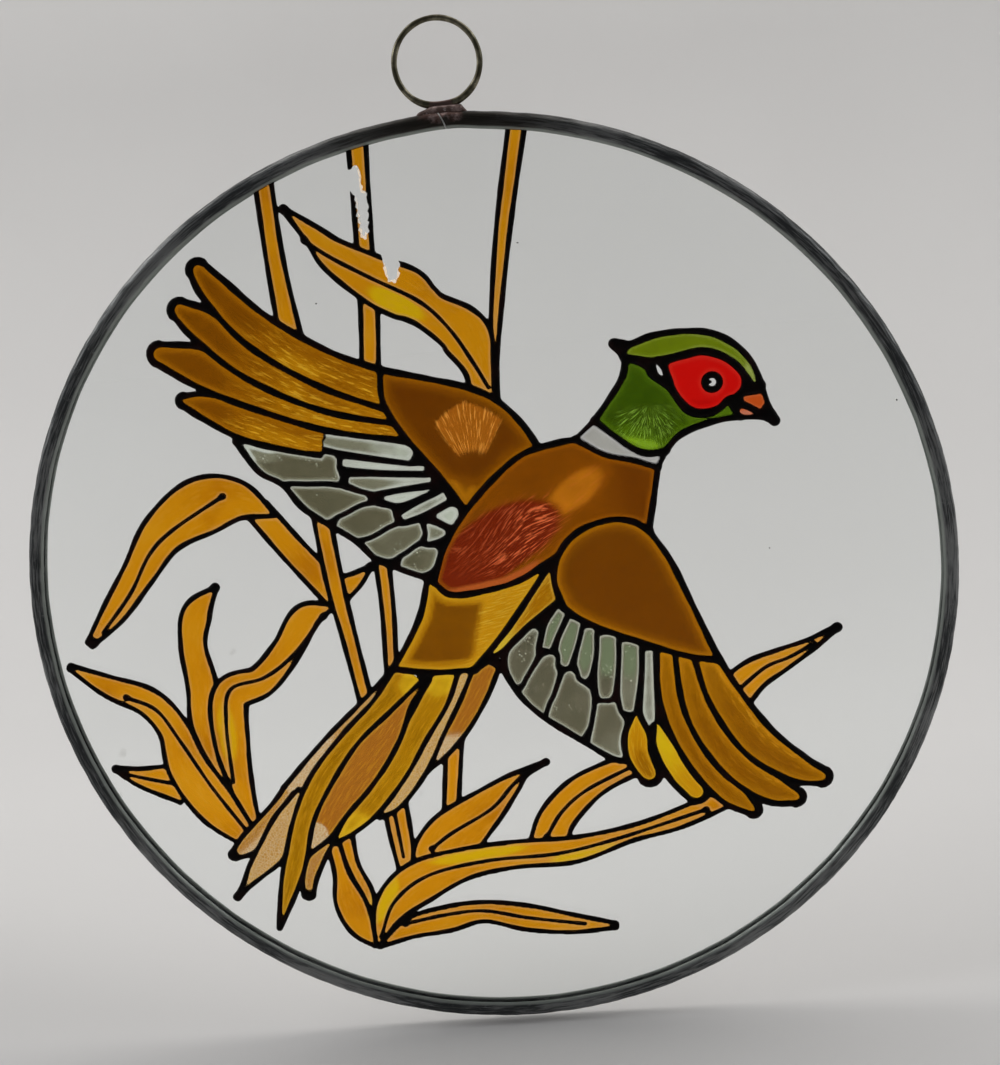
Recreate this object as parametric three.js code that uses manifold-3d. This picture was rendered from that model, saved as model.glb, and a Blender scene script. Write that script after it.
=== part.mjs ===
// A round glass suncatcher: a clear pane in a U-section lead came, hung by a ring that is soldered on.
// A flying pheasant over reeds is painted on its front in raised black outliner and see-through stain.
// Millimetres, +Z up, front towards -Y. The origin is where a hook touches the ring, at its inner top.
import * as THREE from 'three';
import { mergeVertices } from 'three/addons/utils/BufferGeometryUtils.js';
import Module from 'manifold-3d';

const manifold = await Module();
manifold.setup();

// The pane and its lead edge
const GLASS_RADIUS = 101.3;
const GLASS_THICKNESS = 2.4;
const CAME_RADIUS = 102.5;
const CAME_FACE = 3.6;
const CAME_DEPTH = 5;
const CAME_WEB = 0.9;
const CHANNEL = 3;
const CAME_STEPS = 60;
const JOINT_SLIT = 0.3;

// The ring, with its centre above the pane's centre by RING_HEIGHT
const RING_OUTSIDE = 9.5;
const WIRE = 1.3;
const RING_HEIGHT = 112.7;
const SOLDER_WIDTH = 10.8;
const SOLDER_DEPTH = 3.4;
const GAP = 0.3;
const THROUGH = 9;

// The paint, as layers measured forward from the middle of the glass
const GLASS_FACE = GLASS_THICKNESS / 2;
const STAIN_TOP = GLASS_FACE + 0.25;
const LINE_TOP = STAIN_TOP + 0.5;
const PAINT_RADIUS = CAME_RADIUS - CAME_FACE - 0.4;
const LEAF_LINE = 1.15;
const BIRD_LINE = 1.5;
const TAIL_LINE = 1.2;
const RIB_LINE = 0.9;
const FLATNESS = 0.32;
const MERGE = 0.12;
const PUPIL_RADIUS = 2.3;
const PINHOLE_RADIUS = 0.75;

const PANE_CENTRE = -(RING_HEIGHT + RING_OUTSIDE - WIRE);

const LEAD = { color: 0x3c3e40, roughness: 0.5, metalness: 0.8 };
const SOLDER = { color: 0x8d8580, roughness: 0.4, metalness: 0.9 };
const BRONZE = { color: 0x5d5540, roughness: 0.3, metalness: 0.9 };
const CLEAR = { color: 0xdfe6e4, roughness: 0.05, metalness: 0, transparent: true, opacity: 0.3 };
const BLACK = { color: 0x0a0706, roughness: 0.4, metalness: 0 };
const stain = (color) => ({ color, roughness: 0.25, metalness: 0 });
const AMBER = stain(0xd18a12);
const FEATHER_BROWN = stain(0x9c6208);
const SHOULDER_BROWN = stain(0x7b4a04);
const OLD_GOLD = stain(0xa5780c);
const GOLD = stain(0xd9a012);
const RUSSET = stain(0xa0400c);
const FROSTED = stain(0xdedad6);
const GREY = stain(0x8d8c80);
const GREEN = stain(0x4c7a08);
const LIME = stain(0x7d9a18);
const RED = stain(0xc01208);
const ORANGE = stain(0xc85a24);

const group = new THREE.Group();

function addMesh(name, geometry, finish) {
  const mesh = new THREE.Mesh(geometry, new THREE.MeshStandardMaterial(finish));
  mesh.name = name;
  group.add(mesh);
}

// ---- Solids: from a three.js geometry to a manifold and back

function toSolid(geometry) {
  const bare = geometry.clone();
  bare.deleteAttribute('normal');
  bare.deleteAttribute('uv');
  const merged = mergeVertices(bare, 1e-5);
  return new manifold.Manifold(new manifold.Mesh({
    numProp: 3,
    vertProperties: new Float32Array(merged.attributes.position.array),
    triVerts: new Uint32Array(merged.index.array),
  }));
}

// Drawn in the pane's plane with its thickness forward, so (x, up, forward) becomes (x, -forward, up).
function toGeometry(solid) {
  const mesh = solid.getMesh();
  const positions = [];
  for (let i = 0; i < mesh.vertProperties.length; i += mesh.numProp) {
    const [x, up, forward] = mesh.vertProperties.slice(i, i + 3);
    positions.push(x, -forward, up + PANE_CENTRE);
  }
  const geometry = new THREE.BufferGeometry();
  geometry.setAttribute('position', new THREE.Float32BufferAttribute(positions, 3));
  geometry.setIndex(Array.from(mesh.triVerts));
  return geometry;
}

function prism(points, low, high) {
  const shape = new THREE.Shape(points);
  const geometry = new THREE.ExtrudeGeometry(shape, { depth: high - low, bevelEnabled: false });
  geometry.translate(0, 0, low);
  return toSolid(geometry);
}

function disc(radius, low, high, steps) {
  const points = [];
  for (let i = 0; i < steps; i++) {
    const angle = (i / steps) * 2 * Math.PI;
    points.push(new THREE.Vector2(radius * Math.cos(angle), radius * Math.sin(angle)));
  }
  return prism(points, low, high);
}

// ---- Drawing: splines, leaf sides and lines of paint

// A Catmull-Rom spline through points of any dimension
function spline(points, steps = 8) {
  const last = points.length - 1;
  const mirror = (a, b) => a.map((value, k) => 2 * value - b[k]);
  const at = (i) => (i < 0 ? mirror(points[0], points[1])
    : i > last ? mirror(points[last], points[last - 1]) : points[i]);
  const path = [];
  for (let i = 0; i < last; i++) {
    for (let step = 0; step < steps; step++) {
      const t = step / steps;
      path.push(points[i].map((_, k) => {
        const [a, b, c, d] = [at(i - 1)[k], at(i)[k], at(i + 1)[k], at(i + 2)[k]];
        return b + 0.5 * t * (c - a + t * (2 * a - 5 * b + 4 * c - d + t * (3 * (b - c) + d - a)));
      }));
    }
  }
  path.push(points[last]);
  return path;
}

// Drops the points that lie within FLATNESS of the line between their neighbours
function thin(path) {
  if (path.length < 3) return path;
  const [start, end] = [path[0], path[path.length - 1]];
  const along = new THREE.Vector2(end[0] - start[0], end[1] - start[1]);
  const length = along.length();
  let [worst, index] = [0, 0];
  path.forEach((point, i) => {
    const [x, y] = [point[0] - start[0], point[1] - start[1]];
    const away = length < 1e-6 ? Math.hypot(x, y) : Math.abs(along.x * y - along.y * x) / length;
    if (away > worst) [worst, index] = [away, i];
  });
  if (worst < FLATNESS) return [start, end];
  return [...thin(path.slice(0, index + 1)).slice(0, -1), ...thin(path.slice(index))];
}

const curve = (points) => thin(spline(points));

function normalAt(path, i) {
  const before = path[Math.max(i - 1, 0)];
  const after = path[Math.min(i + 1, path.length - 1)];
  const length = Math.hypot(after[0] - before[0], after[1] - before[1]);
  return [-(after[1] - before[1]) / length, (after[0] - before[0]) / length];
}

// The two sides of a blade whose spine is a list of [x, up, width]
function bladeSides(spine) {
  const path = spline(spine);
  const side = (sign) => path.map(([x, y, width], i) => {
    const [nx, ny] = normalAt(path, i);
    return [x + sign * nx * Math.max(width, 0) / 2, y + sign * ny * Math.max(width, 0) / 2];
  });
  return [side(1), side(-1)];
}

// Half a circle between the ends of two sides, for a round feather tip
function roundTip(left, right) {
  const [a, b] = [left[left.length - 1], right[right.length - 1]];
  const centre = [(a[0] + b[0]) / 2, (a[1] + b[1]) / 2];
  const [x, y] = [a[0] - centre[0], a[1] - centre[1]];
  return [1, 2, 3].map((i) => {
    const angle = -(i / 4) * Math.PI;
    const [c, s] = [Math.cos(angle), Math.sin(angle)];
    return [centre[0] + c * x - s * y, centre[1] + s * x + c * y];
  });
}

// A line of paint: the path widened to both sides, with blunt ends
function lineOutline(path, width) {
  const half = width / 2;
  const sides = [[], []];
  path.forEach((point, i) => {
    const before = path[Math.max(i - 1, 0)];
    const after = path[Math.min(i + 1, path.length - 1)];
    const into = Math.atan2(point[1] - before[1], point[0] - before[0]);
    const out = Math.atan2(after[1] - point[1], after[0] - point[0]);
    const [first, second] = [i === 0 ? out : into, i === path.length - 1 ? into : out];
    let turn = second - first;
    turn = Math.atan2(Math.sin(turn), Math.cos(turn));
    const direction = first + turn / 2 + Math.PI / 2;
    const reach = half / Math.max(Math.cos(turn / 2), 0.5);
    sides[0].push([point[0] + reach * Math.cos(direction), point[1] + reach * Math.sin(direction)]);
    sides[1].push([point[0] - reach * Math.cos(direction), point[1] - reach * Math.sin(direction)]);
  });
  const cap = (end, inner) => {
    const angle = Math.atan2(end[1] - inner[1], end[0] - inner[0]);
    return [0.33, -0.33].map((part) => {
      const direction = angle + part * Math.PI;
      return [end[0] + half * Math.cos(direction), end[1] + half * Math.sin(direction)];
    });
  };
  const last = path.length - 1;
  return [
    ...sides[0], ...cap(path[last], path[last - 1]),
    ...sides[1].reverse(), ...cap(path[0], path[1]),
  ].map(([x, y]) => new THREE.Vector2(x, y));
}

const asVectors = (points) => points.map(([x, y]) => new THREE.Vector2(x, y));

const cutter = (points) => prism(points, -THROUGH, THROUGH);

function linePrisms(lines, extra, low, high) {
  return lines.map(({ path, width }) => prism(lineOutline(path, width + extra), low, high));
}

const join = (solids) => manifold.Manifold.union(solids);

// ---- Painting: each shape covers what was painted before it, as a nearer feather hides a farther one

const films = new Map();
let outliner = null;

function layLines(lines) {
  const solids = linePrisms(lines, 0, STAIN_TOP, LINE_TOP);
  outliner = join(outliner ? [outliner, ...solids] : solids);
}

function paint(film, finish, outline, lines) {
  const points = asVectors(outline);
  const covered = join([cutter(points), ...linePrisms(lines, 2 * GAP, -THROUGH, THROUGH)]);
  const stained = join([
    prism(points, GLASS_FACE, STAIN_TOP), ...linePrisms(lines, 0, GLASS_FACE, STAIN_TOP),
  ]);
  for (const [name, other] of films) {
    if (name !== film) other.solid = other.solid.subtract(covered);
  }
  const old = films.get(film);
  films.set(film, { finish, solid: old ? old.solid.add(stained) : stained });
  if (outliner) outliner = outliner.subtract(cutter(points));
  layLines(lines);
}

// A pointed leaf or a stalk, with a middle rib if it has one
function leaf(film, finish, spine, rib, width = LEAF_LINE) {
  const [left, right] = bladeSides(spine).map(thin);
  const lines = [{ path: left, width }, { path: right, width }];
  if (rib) lines.push({ path: curve(rib), width: RIB_LINE });
  paint(film, finish, [...left, ...[...right].reverse()], lines);
}

// A feather with a round tip at the end of its spine
function feather(film, finish, spine) {
  const [left, right] = bladeSides(spine).map(thin);
  const around = [...left, ...roundTip(left, right), ...[...right].reverse()];
  paint(film, finish, around, [{ path: around, width: BIRD_LINE }]);
}

// An area inside a ring of curves, each starting where the one before it ends
function patch(film, finish, edges, width = BIRD_LINE) {
  const lines = edges.map((edge) => ({ path: curve(edge), width }));
  paint(film, finish, lines.flatMap(({ path }) => path.slice(0, -1)), lines);
}

// An area left black but for windows, each a blade like a leaf's
function web(film, finish, edges, windows, width = BIRD_LINE) {
  patch(film, finish, edges, width);
  const area = asVectors(edges.flatMap((edge) => curve(edge).slice(0, -1)));
  const cut = windows.map((spine) => {
    const [left, right] = bladeSides(spine).map(thin);
    return cutter(asVectors([...left, ...right.reverse()]));
  });
  outliner = outliner.add(prism(area, STAIN_TOP, LINE_TOP)).subtract(join(cut));
}

// Reeds, from the left of the pane to the right
leaf('left_stalk_stain', AMBER, [[-38.8, 97, 3.4], [-38.2, 76, 3.6], [-36.6, 57, 4.8]]);
leaf('upper_reeds_stain', AMBER, [[-18, 101, 3.8], [-18.8, 80, 3.2], [-19.3, 65, 3.6], [-20.8, 48, 3.6]]);
leaf('upper_reeds_stain', AMBER, [[15.8, 101, 3.4], [10.2, 76, 2.8], [6.2, 52, 1.6], [5.6, 41, 1]]);
leaf('upper_reeds_stain', AMBER,
  [[-35.2, 86.4, 0.4], [-29.4, 80.2, 4], [-25.2, 75.4, 7], [-16.9, 69.5, 10], [-11.2, 66.4, 10.8],
   [-8.2, 64, 8.8], [-5.8, 61.9, 8.1], [-0.8, 58.2, 10], [1.2, 55, 10.2], [2.8, 49, 6.2],
   [3, 43, 5]],
  [[-31.5, 79.4], [-26.4, 75.4], [-18.4, 70.4], [-8.4, 64.4], [-2.6, 58], [1.8, 50.3], [4.4, 45]]);
leaf('left_reeds_stain', AMBER, [[-48.6, 22.5, 5.4], [-42, 13, 5.6], [-34, 2.5, 6]]);
leaf('left_reeds_stain', AMBER,
  [[-90.5, -5, 1.4], [-84, 1.8, 5.2], [-77, 10.5, 7], [-70.3, 19, 9.4], [-61, 24.3, 12.4], [-53, 25, 9],
    [-45.2, 21.2, 0.6]],
  [[-87, -2.5], [-79.5, 6], [-74, 14.5], [-68, 19.6], [-56, 26.2]]);
leaf('left_reeds_stain', AMBER, [[-33, 3, 6], [-29, 5, 3.4], [-25.2, 7.8, 0.4]]);
leaf('left_reeds_stain', AMBER,
  [[-88.6, -35, 0.8], [-83, -37.4, 4.6], [-74, -39.5, 9.4]],
  [[-87, -36.2], [-81, -38], [-75, -39.6]]);
leaf('left_reeds_stain', AMBER,
  [[-60.3, 5.8, 0.5], [-65.2, 0.4, 6], [-67.1, -7, 5.6], [-66.3, -17, 6.6], [-67, -27, 5.6],
   [-63, -41, 3]]);
leaf('left_reeds_stain', AMBER,
  [[-35, -0.6, 1], [-41, -2.6, 6], [-46.2, -9.8, 6.2], [-52.6, -16.4, 6.8], [-60.2, -19.6, 8.2],
    [-61.4, -31, 7.6], [-60.4, -42, 5], [-59.4, -52, 4]],
  [[-37, -2.6], [-45, -11.2], [-52, -15.8], [-60, -18], [-62, -26], [-62.2, -40]]);
leaf('left_reeds_stain', AMBER,
  [[-95.8, -10, 1], [-87.5, -15.2, 4.8], [-79, -19.6, 6.4], [-74.2, -26.5, 7], [-72, -36, 9.4],
    [-66.5, -46, 9.4], [-59.5, -55, 4]],
  [[-84, -18], [-77.5, -21.6], [-73, -29.5], [-67.5, -40.5], [-61, -51.5]]);
leaf('left_reeds_stain', AMBER, [[-35, 23, 3.6], [-33.6, 5, 3.6], [-31.8, -8, 3], [-29.6, -24, 2.8]]);
leaf('middle_stalk_stain', AMBER, [[-22.6, 12, 3], [-22.5, -3, 2.6], [-23.4, -19, 2.2]]);
leaf('right_reed_stain', AMBER,
  [[50, -30, 9], [56.5, -23.8, 7], [63, -20.6, 5], [69.5, -17.6, 2.6], [75.6, -14, 0.6]],
  [[53, -27], [59.5, -22], [65, -20], [70.5, -17.2]]);
leaf('lower_reeds_stain', AMBER,
  [[-25.8, -46, 4.8], [-25.4, -54, 5], [-24.6, -64, 4]], [[-26.2, -49], [-25.2, -61]]);
leaf('lower_reeds_stain', AMBER, [[-10.4, -31, 3.6], [-13.5, -53, 3.2]]);
leaf('lower_reeds_stain', AMBER,
  [[-15.6, -64.6, 15.4], [-14.6, -60.6, 15.8], [-12, -56, 12.6], [-4.5, -49.8, 8.2], [1, -45.2, 4.4],
   [4.5, -42.6, 1.6], [9.4, -40.4, 0.4]],
  [[-18.5, -59.5], [-13.5, -56], [-4, -50.8], [1.2, -45.6], [4.6, -42.6]]);
leaf('lower_reeds_stain', AMBER,
  [[8, -61, 8.4], [10.5, -54.5, 8], [16, -48.6, 7.4], [22, -45, 6], [31, -41.5, 5]],
  [[8, -58.5], [12, -52.6], [18, -47.8], [28, -43.2]]);
leaf('lower_reeds_stain', AMBER, [[-38.2, -54, 3.6], [-37.2, -62, 2.8], [-34.6, -69, 2.6],
  [-33.6, -74, 1]]);
leaf('lower_reeds_stain', AMBER,
  [[-41.2, -55, 2.6], [-39.9, -64, 3.4], [-38.8, -71, 6.8], [-36.8, -77.5, 5.8], [-33.8, -82.6, 0.8]]);
leaf('lower_reeds_stain', AMBER,
  [[-33, -82.6, 0.8], [-25, -78.6, 4.8], [-16.5, -77, 6], [-8, -75.8, 4.8], [2, -78, 6], [12, -80.1, 4.4],
    [22, -81.3, 1.2]],
  [[-26.5, -77.6], [-17, -76], [-8, -75.6], [2, -78], [15, -80.4]]);
leaf('lower_reeds_stain', AMBER,
  [[-33.6, -82.6, 0.8], [-29.6, -73.5, 7.4], [-22, -67.4, 10], [-11, -63.6, 7.2], [1, -62.2, 6.2],
    [14, -62, 6], [27, -59, 3.6], [38, -56.2, 4.4], [50, -51.5, 4.4]],
  [[-32.5, -80.5], [-28.5, -72], [-20, -66], [-6, -63.3], [10, -62.7], [24, -60], [44.5, -54.4]]);

// Far wing, behind the body: the grey feathers lie under the long ones, and the shoulder over both
web('far_wing_grey_stain', GREY, [
  [[-14, 40], [-31, 40], [-51.5, 38]],
  [[-51.5, 38], [-47.3, 31], [-42.4, 27.6], [-38, 21.6], [-28, 14], [-24, 9.6], [-18.5, 6.6], [-12.5, 4]],
  [[-12.5, 4], [-4, 18], [-14, 38]],
], [
  [[-50.6, 37.2, 0.6], [-43, 32.6, 6], [-30.2, 30.2, 4.4]],
  [[-40.6, 26.4, 0.8], [-33.5, 23, 6], [-24.8, 23.3, 0.8]],
  [[-30.8, 18.4, 1.4], [-25.6, 17.9, 6.2], [-19.6, 18.8, 2.6]],
  [[-25.8, 12.9, 0.6], [-19.8, 12.9, 5.6], [-13.4, 15.3, 2]],
  [[-17.8, 8.5, 1.6], [-14, 8.7, 4.6], [-10.8, 9.7, 1.4]],
  [[-32.8, 36.9, 2], [-27, 35.7, 3.4], [-13.8, 31.9, 2.8]],
  [[-29, 31.5, 1.7], [-20, 29.8, 1.6], [-11.2, 28.6, 1]],
  [[-27.6, 27.4, 1], [-22.4, 26.2, 2.9], [-10.2, 26.1, 0.7]],
  [[-20.6, 22.9, 0.8], [-17, 22.7, 2.2], [-10, 23.8, 0.3]],
  [[-17, 18.2, 1.2], [-12.6, 20, 2], [-7.2, 22.2, 1.8]],
  [[-9.2, 18, 0.4], [-6.2, 17.8, 3.4], [-4.4, 18, 0.6]],
  [[-11.8, 14.4, 3.4], [-10, 14.3, 2.2], [-8.4, 14.2, 0.6]],
]);
const FAR_PRIMARIES = [
  [[-32.6, 36.2, 5.6], [-38, 38, 6.8], [-48, 42.2, 8.6], [-57, 46.2, 5.6], [-61.6, 47.8, 2.4]],
  [[-12, 37.6, 6], [-30, 42.4, 7.8], [-46, 49.4, 9], [-57, 54.8, 8.6], [-65.4, 58.2, 4.6]],
  [[-12, 41.5, 7], [-30, 46.6, 7.8], [-45, 55, 8.6], [-55.4, 63.6, 7], [-59.8, 67.2, 4.2]],
  [[-15, 45.2, 8], [-30, 51.8, 7.8], [-43.6, 61.2, 7.6], [-51.8, 70.6, 6], [-54.8, 75.2, 4]],
];
for (const spine of FAR_PRIMARIES) feather('far_wing_primary_stain', FEATHER_BROWN, spine);
patch('far_wing_shoulder_stain', SHOULDER_BROWN, [
  [[-18.5, 50.8], [-9, 48.2], [0, 45.4], [6, 42], [11, 36.4], [15, 29]],
  [[15, 29], [6, 24], [-2, 17]],
  [[-2, 17], [-9, 28], [-15.4, 37], [-18.6, 44], [-18.5, 50.8]],
]);

// Tail: the outer feathers first, the middle ones over them
const TAIL = [
  [[-42, -56.4, 1.6], [-45.4, -60, 3.8], [-47.4, -64.6, 3.2], [-48.2, -69, 2.2]],
  [[-2, -16.4, 6.2], [-5.4, -22.8, 6.6], [-9.9, -30, 6], [-13.8, -35.8, 3.6], [-17.6, -40.4, 0.6]],
  [[-7, -18, 3.2], [-10.1, -24, 3.3], [-14.7, -31.6, 3.6], [-19.4, -39.6, 4.1], [-25.8, -47.2, 4],
   [-29.8, -50.8, 0.8]],
  [[-10.8, -17.2, 5.2], [-14.2, -23.7, 6.2], [-19.5, -31.6, 5.9], [-24.3, -39.6, 5.2],
   [-31.4, -47.6, 5.6],
   [-36.6, -52.5, 4], [-40.8, -56.4, 0.6]],
  [[-22.2, -16.8, 2], [-30.6, -25, 2.9], [-38.1, -32.3, 4], [-44.1, -39, 5.2], [-50.2, -43.2, 2.4]],
  [[-49.8, -43, 2.4], [-52.6, -46.6, 2.8], [-56.4, -51.6, 4.8], [-60.6, -55.4, 4.6], [-64.4, -58, 1.8]],
  [[-46.6, -43.2, 2], [-51.1, -50.6, 6], [-55.2, -57.2, 6.4], [-59.4, -61.8, 4.2], [-62.4, -65.4, 1.6],
   [-65, -68.4, 0.6]],
  [[-15.6, -18.6, 1.8], [-21.2, -23.6, 4], [-26.5, -30.8, 8], [-33.8, -39.8, 9.4], [-40.1, -47.5, 7.8],
   [-44.2, -53.7, 5.8], [-47.4, -58.8, 0.8]],
  [[-19.2, -17, 6.8], [-26.2, -24.4, 4.5], [-34.2, -31.6, 4], [-42, -41, 5], [-47, -50, 4.6],
   [-50.2, -60, 4.9], [-52.6, -67, 3.8], [-56, -76.8, 0.4]],
];
for (const spine of TAIL) leaf('tail_stain', OLD_GOLD, spine, null, TAIL_LINE);

// Body, with the rump under the breast and the near wing over both
patch('rump_stain', GOLD, [
  [[-13, 4], [-15.4, -4], [-19.6, -11.4], [-23, -16]],
  [[-23, -16], [-14, -17.5], [-4.6, -17.6]],
  [[-4.6, -17.6], [4.2, -8], [14.6, 5.6]],
  [[14.6, 5.6], [0, 4], [-13, 4]],
]);
patch('flank_stain', GOLD, [
  [[-4.6, -17.6], [4.2, -8], [14.6, 5.6]],
  [[14.6, 5.6], [15.8, -3]],
  [[15.8, -3], [8, -8.8], [2.6, -13.4], [-4.6, -17.6]],
]);
patch('breast_stain', RUSSET, [
  [[-11.6, 3], [-8.6, 11], [-3, 18.6], [3.4, 25], [10.4, 30], [18, 31.8], [22, 32.2]],
  [[22, 32.2], [28, 28.6], [33.6, 27], [39.2, 24.8]],
  [[39.2, 24.8], [37.6, 17], [36, 10]],
  [[36, 10], [20, 8.6], [8, 2.4], [0, 0.4], [-8, 0], [-11.6, 3]],
]);
web('near_wing_grey_stain', GREY, [
  [[16, -3], [8, -9], [3, -13.6], [1.8, -18]],
  [[1.8, -18], [5, -24.4], [9.6, -29.6], [17.4, -35.6], [25, -41], [30, -41]],
  [[30, -41], [37, -32], [37, -14]],
  [[37, -14], [26, -8], [16, -3]],
], [
  [[9.7, -10, 0.6], [6.2, -15.4, 4.4], [4.9, -21.2, 1]],
  [[13, -15.8, 1.6], [10.6, -20.4, 4.7], [8.9, -24.6, 5.7], [9.2, -28.6, 1.2]],
  [[16.9, -20, 1.6], [16.6, -25.6, 7.2], [15.2, -31, 8.4], [14.6, -34.2, 5]],
  [[24, -27.6, 3], [24.1, -32, 5.4], [23.2, -39.4, 5.9]],
  [[16, -5.5, 1.8], [13.7, -9.2, 2.5], [11.7, -13.8, 1.6]],
  [[18.7, -8.1, 2.4], [16.7, -13, 3.5], [15.2, -17.9, 1.4]],
  [[21.5, -10.2, 1.9], [20.5, -15.6, 3.3], [19.1, -21.6, 1.6]],
  [[25.4, -12.3, 3.2], [24.9, -19, 3.7], [23.9, -26.4, 1.8]],
  [[30.3, -14.3, 3.3], [29.7, -21, 3.7], [28.6, -29.5, 1.8]],
  [[34.3, -16.2, 1.7], [33.8, -23, 2], [33.2, -31.6, 2.4], [33.4, -33.6, 0.8]],
]);
feather('near_wing_gold_stain', GOLD,
  [[30.4, -30.8, 1.6], [30.2, -35.6, 5.4], [30.4, -40.4, 5.6], [32.4, -45, 4.6]]);
feather('near_wing_gold_stain', GOLD, [[35, -33.4, 1.8], [36.2, -38.4, 4.6], [39, -45, 5.2],
  [42.6, -49.9, 4.8]]);
const NEAR_PRIMARIES = [
  [[38.4, -13, 4.6], [39, -29, 6], [44, -41.6, 6.6], [50, -50.2, 6.2], [55, -55.2, 2.6]],
  [[42.6, -14, 5.6], [44.6, -30, 7], [51, -42, 8.2], [59, -50, 7], [64.6, -52.8, 3.4]],
  [[46, -16.8, 4.4], [50.2, -28, 7.2], [57, -39, 8], [65, -45.8, 6.4], [70.6, -48.4, 3.6]],
];
for (const spine of NEAR_PRIMARIES) feather('near_wing_primary_stain', FEATHER_BROWN, spine);
patch('near_wing_shoulder_stain', SHOULDER_BROWN, [
  [[16.4, -5], [14.8, 1.6], [16.8, 8], [21.4, 12.2], [28, 14], [33, 13.2], [36.4, 10.8]],
  [[36.4, 10.8], [40.4, 4], [44, -5], [49.6, -19.6]],
  [[49.6, -19.6], [42, -17.8], [31, -13.4], [21, -8.6], [16.4, -5]],
]);

// Collar, neck and head
patch('collar_stain', FROSTED, [
  [[22, 32.4], [26.4, 36]],
  [[26.4, 36], [30.2, 32.5], [34.4, 29.1], [37.6, 27.9], [41.2, 28.2]],
  [[41.2, 28.2], [39.2, 24.8]],
  [[39.2, 24.8], [33.6, 27], [28, 28.6], [22, 32.4]],
], LEAF_LINE);
patch('neck_stain', GREEN, [
  [[26.4, 36], [29.8, 40.2], [32.6, 44], [33.6, 46.4], [33.9, 48.8]],
  [[33.9, 48.8], [36.4, 47.8], [38.4, 46.5], [39.5, 44.4], [42.8, 41.6], [44.7, 38.4], [46.6, 36.2],
   [49, 35.4], [52, 35.7], [54, 37], [56, 38.6]],
  [[56, 38.6], [57, 36.6], [57.4, 34.2]],
  [[57.4, 34.2], [54, 34], [50, 33.3], [46, 32.1], [43.4, 30.6], [41.2, 28.2]],
  [[41.2, 28.2], [37.6, 27.9], [34.4, 29.1], [30.2, 32.5], [26.4, 36]],
]);
patch('crown_stain', LIME, [
  [[31.7, 52], [35, 51.6], [40, 53], [46, 53.4], [52, 52.6], [57, 49.8], [60.5, 45.6], [62.3, 40.6]],
  [[62.3, 40.6], [60.8, 39.8], [59.2, 42.8], [56.2, 46.4], [51, 48.8], [46.4, 48.6], [42.4, 48],
   [39.2, 47.8], [36, 48.4], [33.6, 49]],
  [[33.6, 49], [31.7, 52]],
]);
layLines([{ path: [[40.2, 47.4], [41.4, 44]], width: 2.4 }]);
patch('face_stain', RED, [
  [[42.2, 47.2], [46, 48.1], [50, 48.7], [53.6, 47.7], [56.8, 45.4], [58.6, 42.8], [58.7, 40.2]],
  [[58.7, 40.2], [57, 38.6], [55, 38], [53, 36.5], [50.4, 35.9], [47.6, 36.4], [45.3, 38.2], [43.5, 41.2],
   [42.5, 44.4], [42.2, 47.2]],
]);
web('beak_stain', ORANGE, [
  [[57.4, 38.9], [60, 40.4], [62.4, 40.6]],
  [[62.4, 40.6], [63, 37.9], [63.9, 34.8], [64.7, 32.8]],
  [[64.7, 32.8], [61.8, 33.6], [57.6, 34.1]],
  [[57.6, 34.1], [55.8, 36.6], [57.4, 38.9]],
], [
  [[58.6, 37.9, 0.4], [60.8, 37.3, 2], [62.5, 36.8, 3.2]],
  [[57.4, 35.4, 1.4], [58.8, 35, 1.1], [60.4, 34.6, 0.3]],
], LEAF_LINE);

// The pupil is a dot of outliner with a pinhole left in it
const PUPIL = [51.9, 42.1];
const pupil = disc(PUPIL_RADIUS, STAIN_TOP, LINE_TOP, 14)
  .subtract(disc(PINHOLE_RADIUS, -THROUGH, THROUGH, 8)).translate([...PUPIL, 0]);

// Where paint has flaked off: a run of the second stalk, the line beside it, and a notch in the reed
const CHIPS = [
  [[-19, 93.6], [-17.8, 93], [-17.6, 88], [-18, 84], [-18.6, 78.6], [-19.6, 79], [-19.4, 86], [-20, 90]],
  [[-22, 92.8], [-19, 92.8], [-19, 88.4], [-22, 88.4]],
  [[-15.2, 76], [-12, 76], [-12.4, 72], [-13.2, 69.8], [-15, 69.6], [-15.4, 72]],
];
const chipped = join(CHIPS.map((points) => cutter(asVectors(points))));
const paintArea = disc(PAINT_RADIUS, -THROUGH, THROUGH, CAME_STEPS);
const trim = (solid) => solid.intersect(paintArea).subtract(chipped).asOriginal().simplify(MERGE);

const largestFirst = (solid) => solid.decompose().sort((a, b) => b.volume() - a.volume());
const [network, aboveChip] = largestFirst(trim(outliner));
addMesh('outliner_network', toGeometry(network), BLACK);
addMesh('outliner_above_chip', toGeometry(aboveChip), BLACK);
addMesh('pheasant_pupil', toGeometry(pupil), BLACK);
for (const [name, { finish, solid }] of films) {
  addMesh(name, toGeometry(largestFirst(trim(solid))[0]), finish);
}

// ---- The pane, the lead came and the ring

addMesh('glass_disc', toGeometry(disc(GLASS_RADIUS, -GLASS_FACE, GLASS_FACE, CAME_STEPS)), CLEAR);

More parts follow.
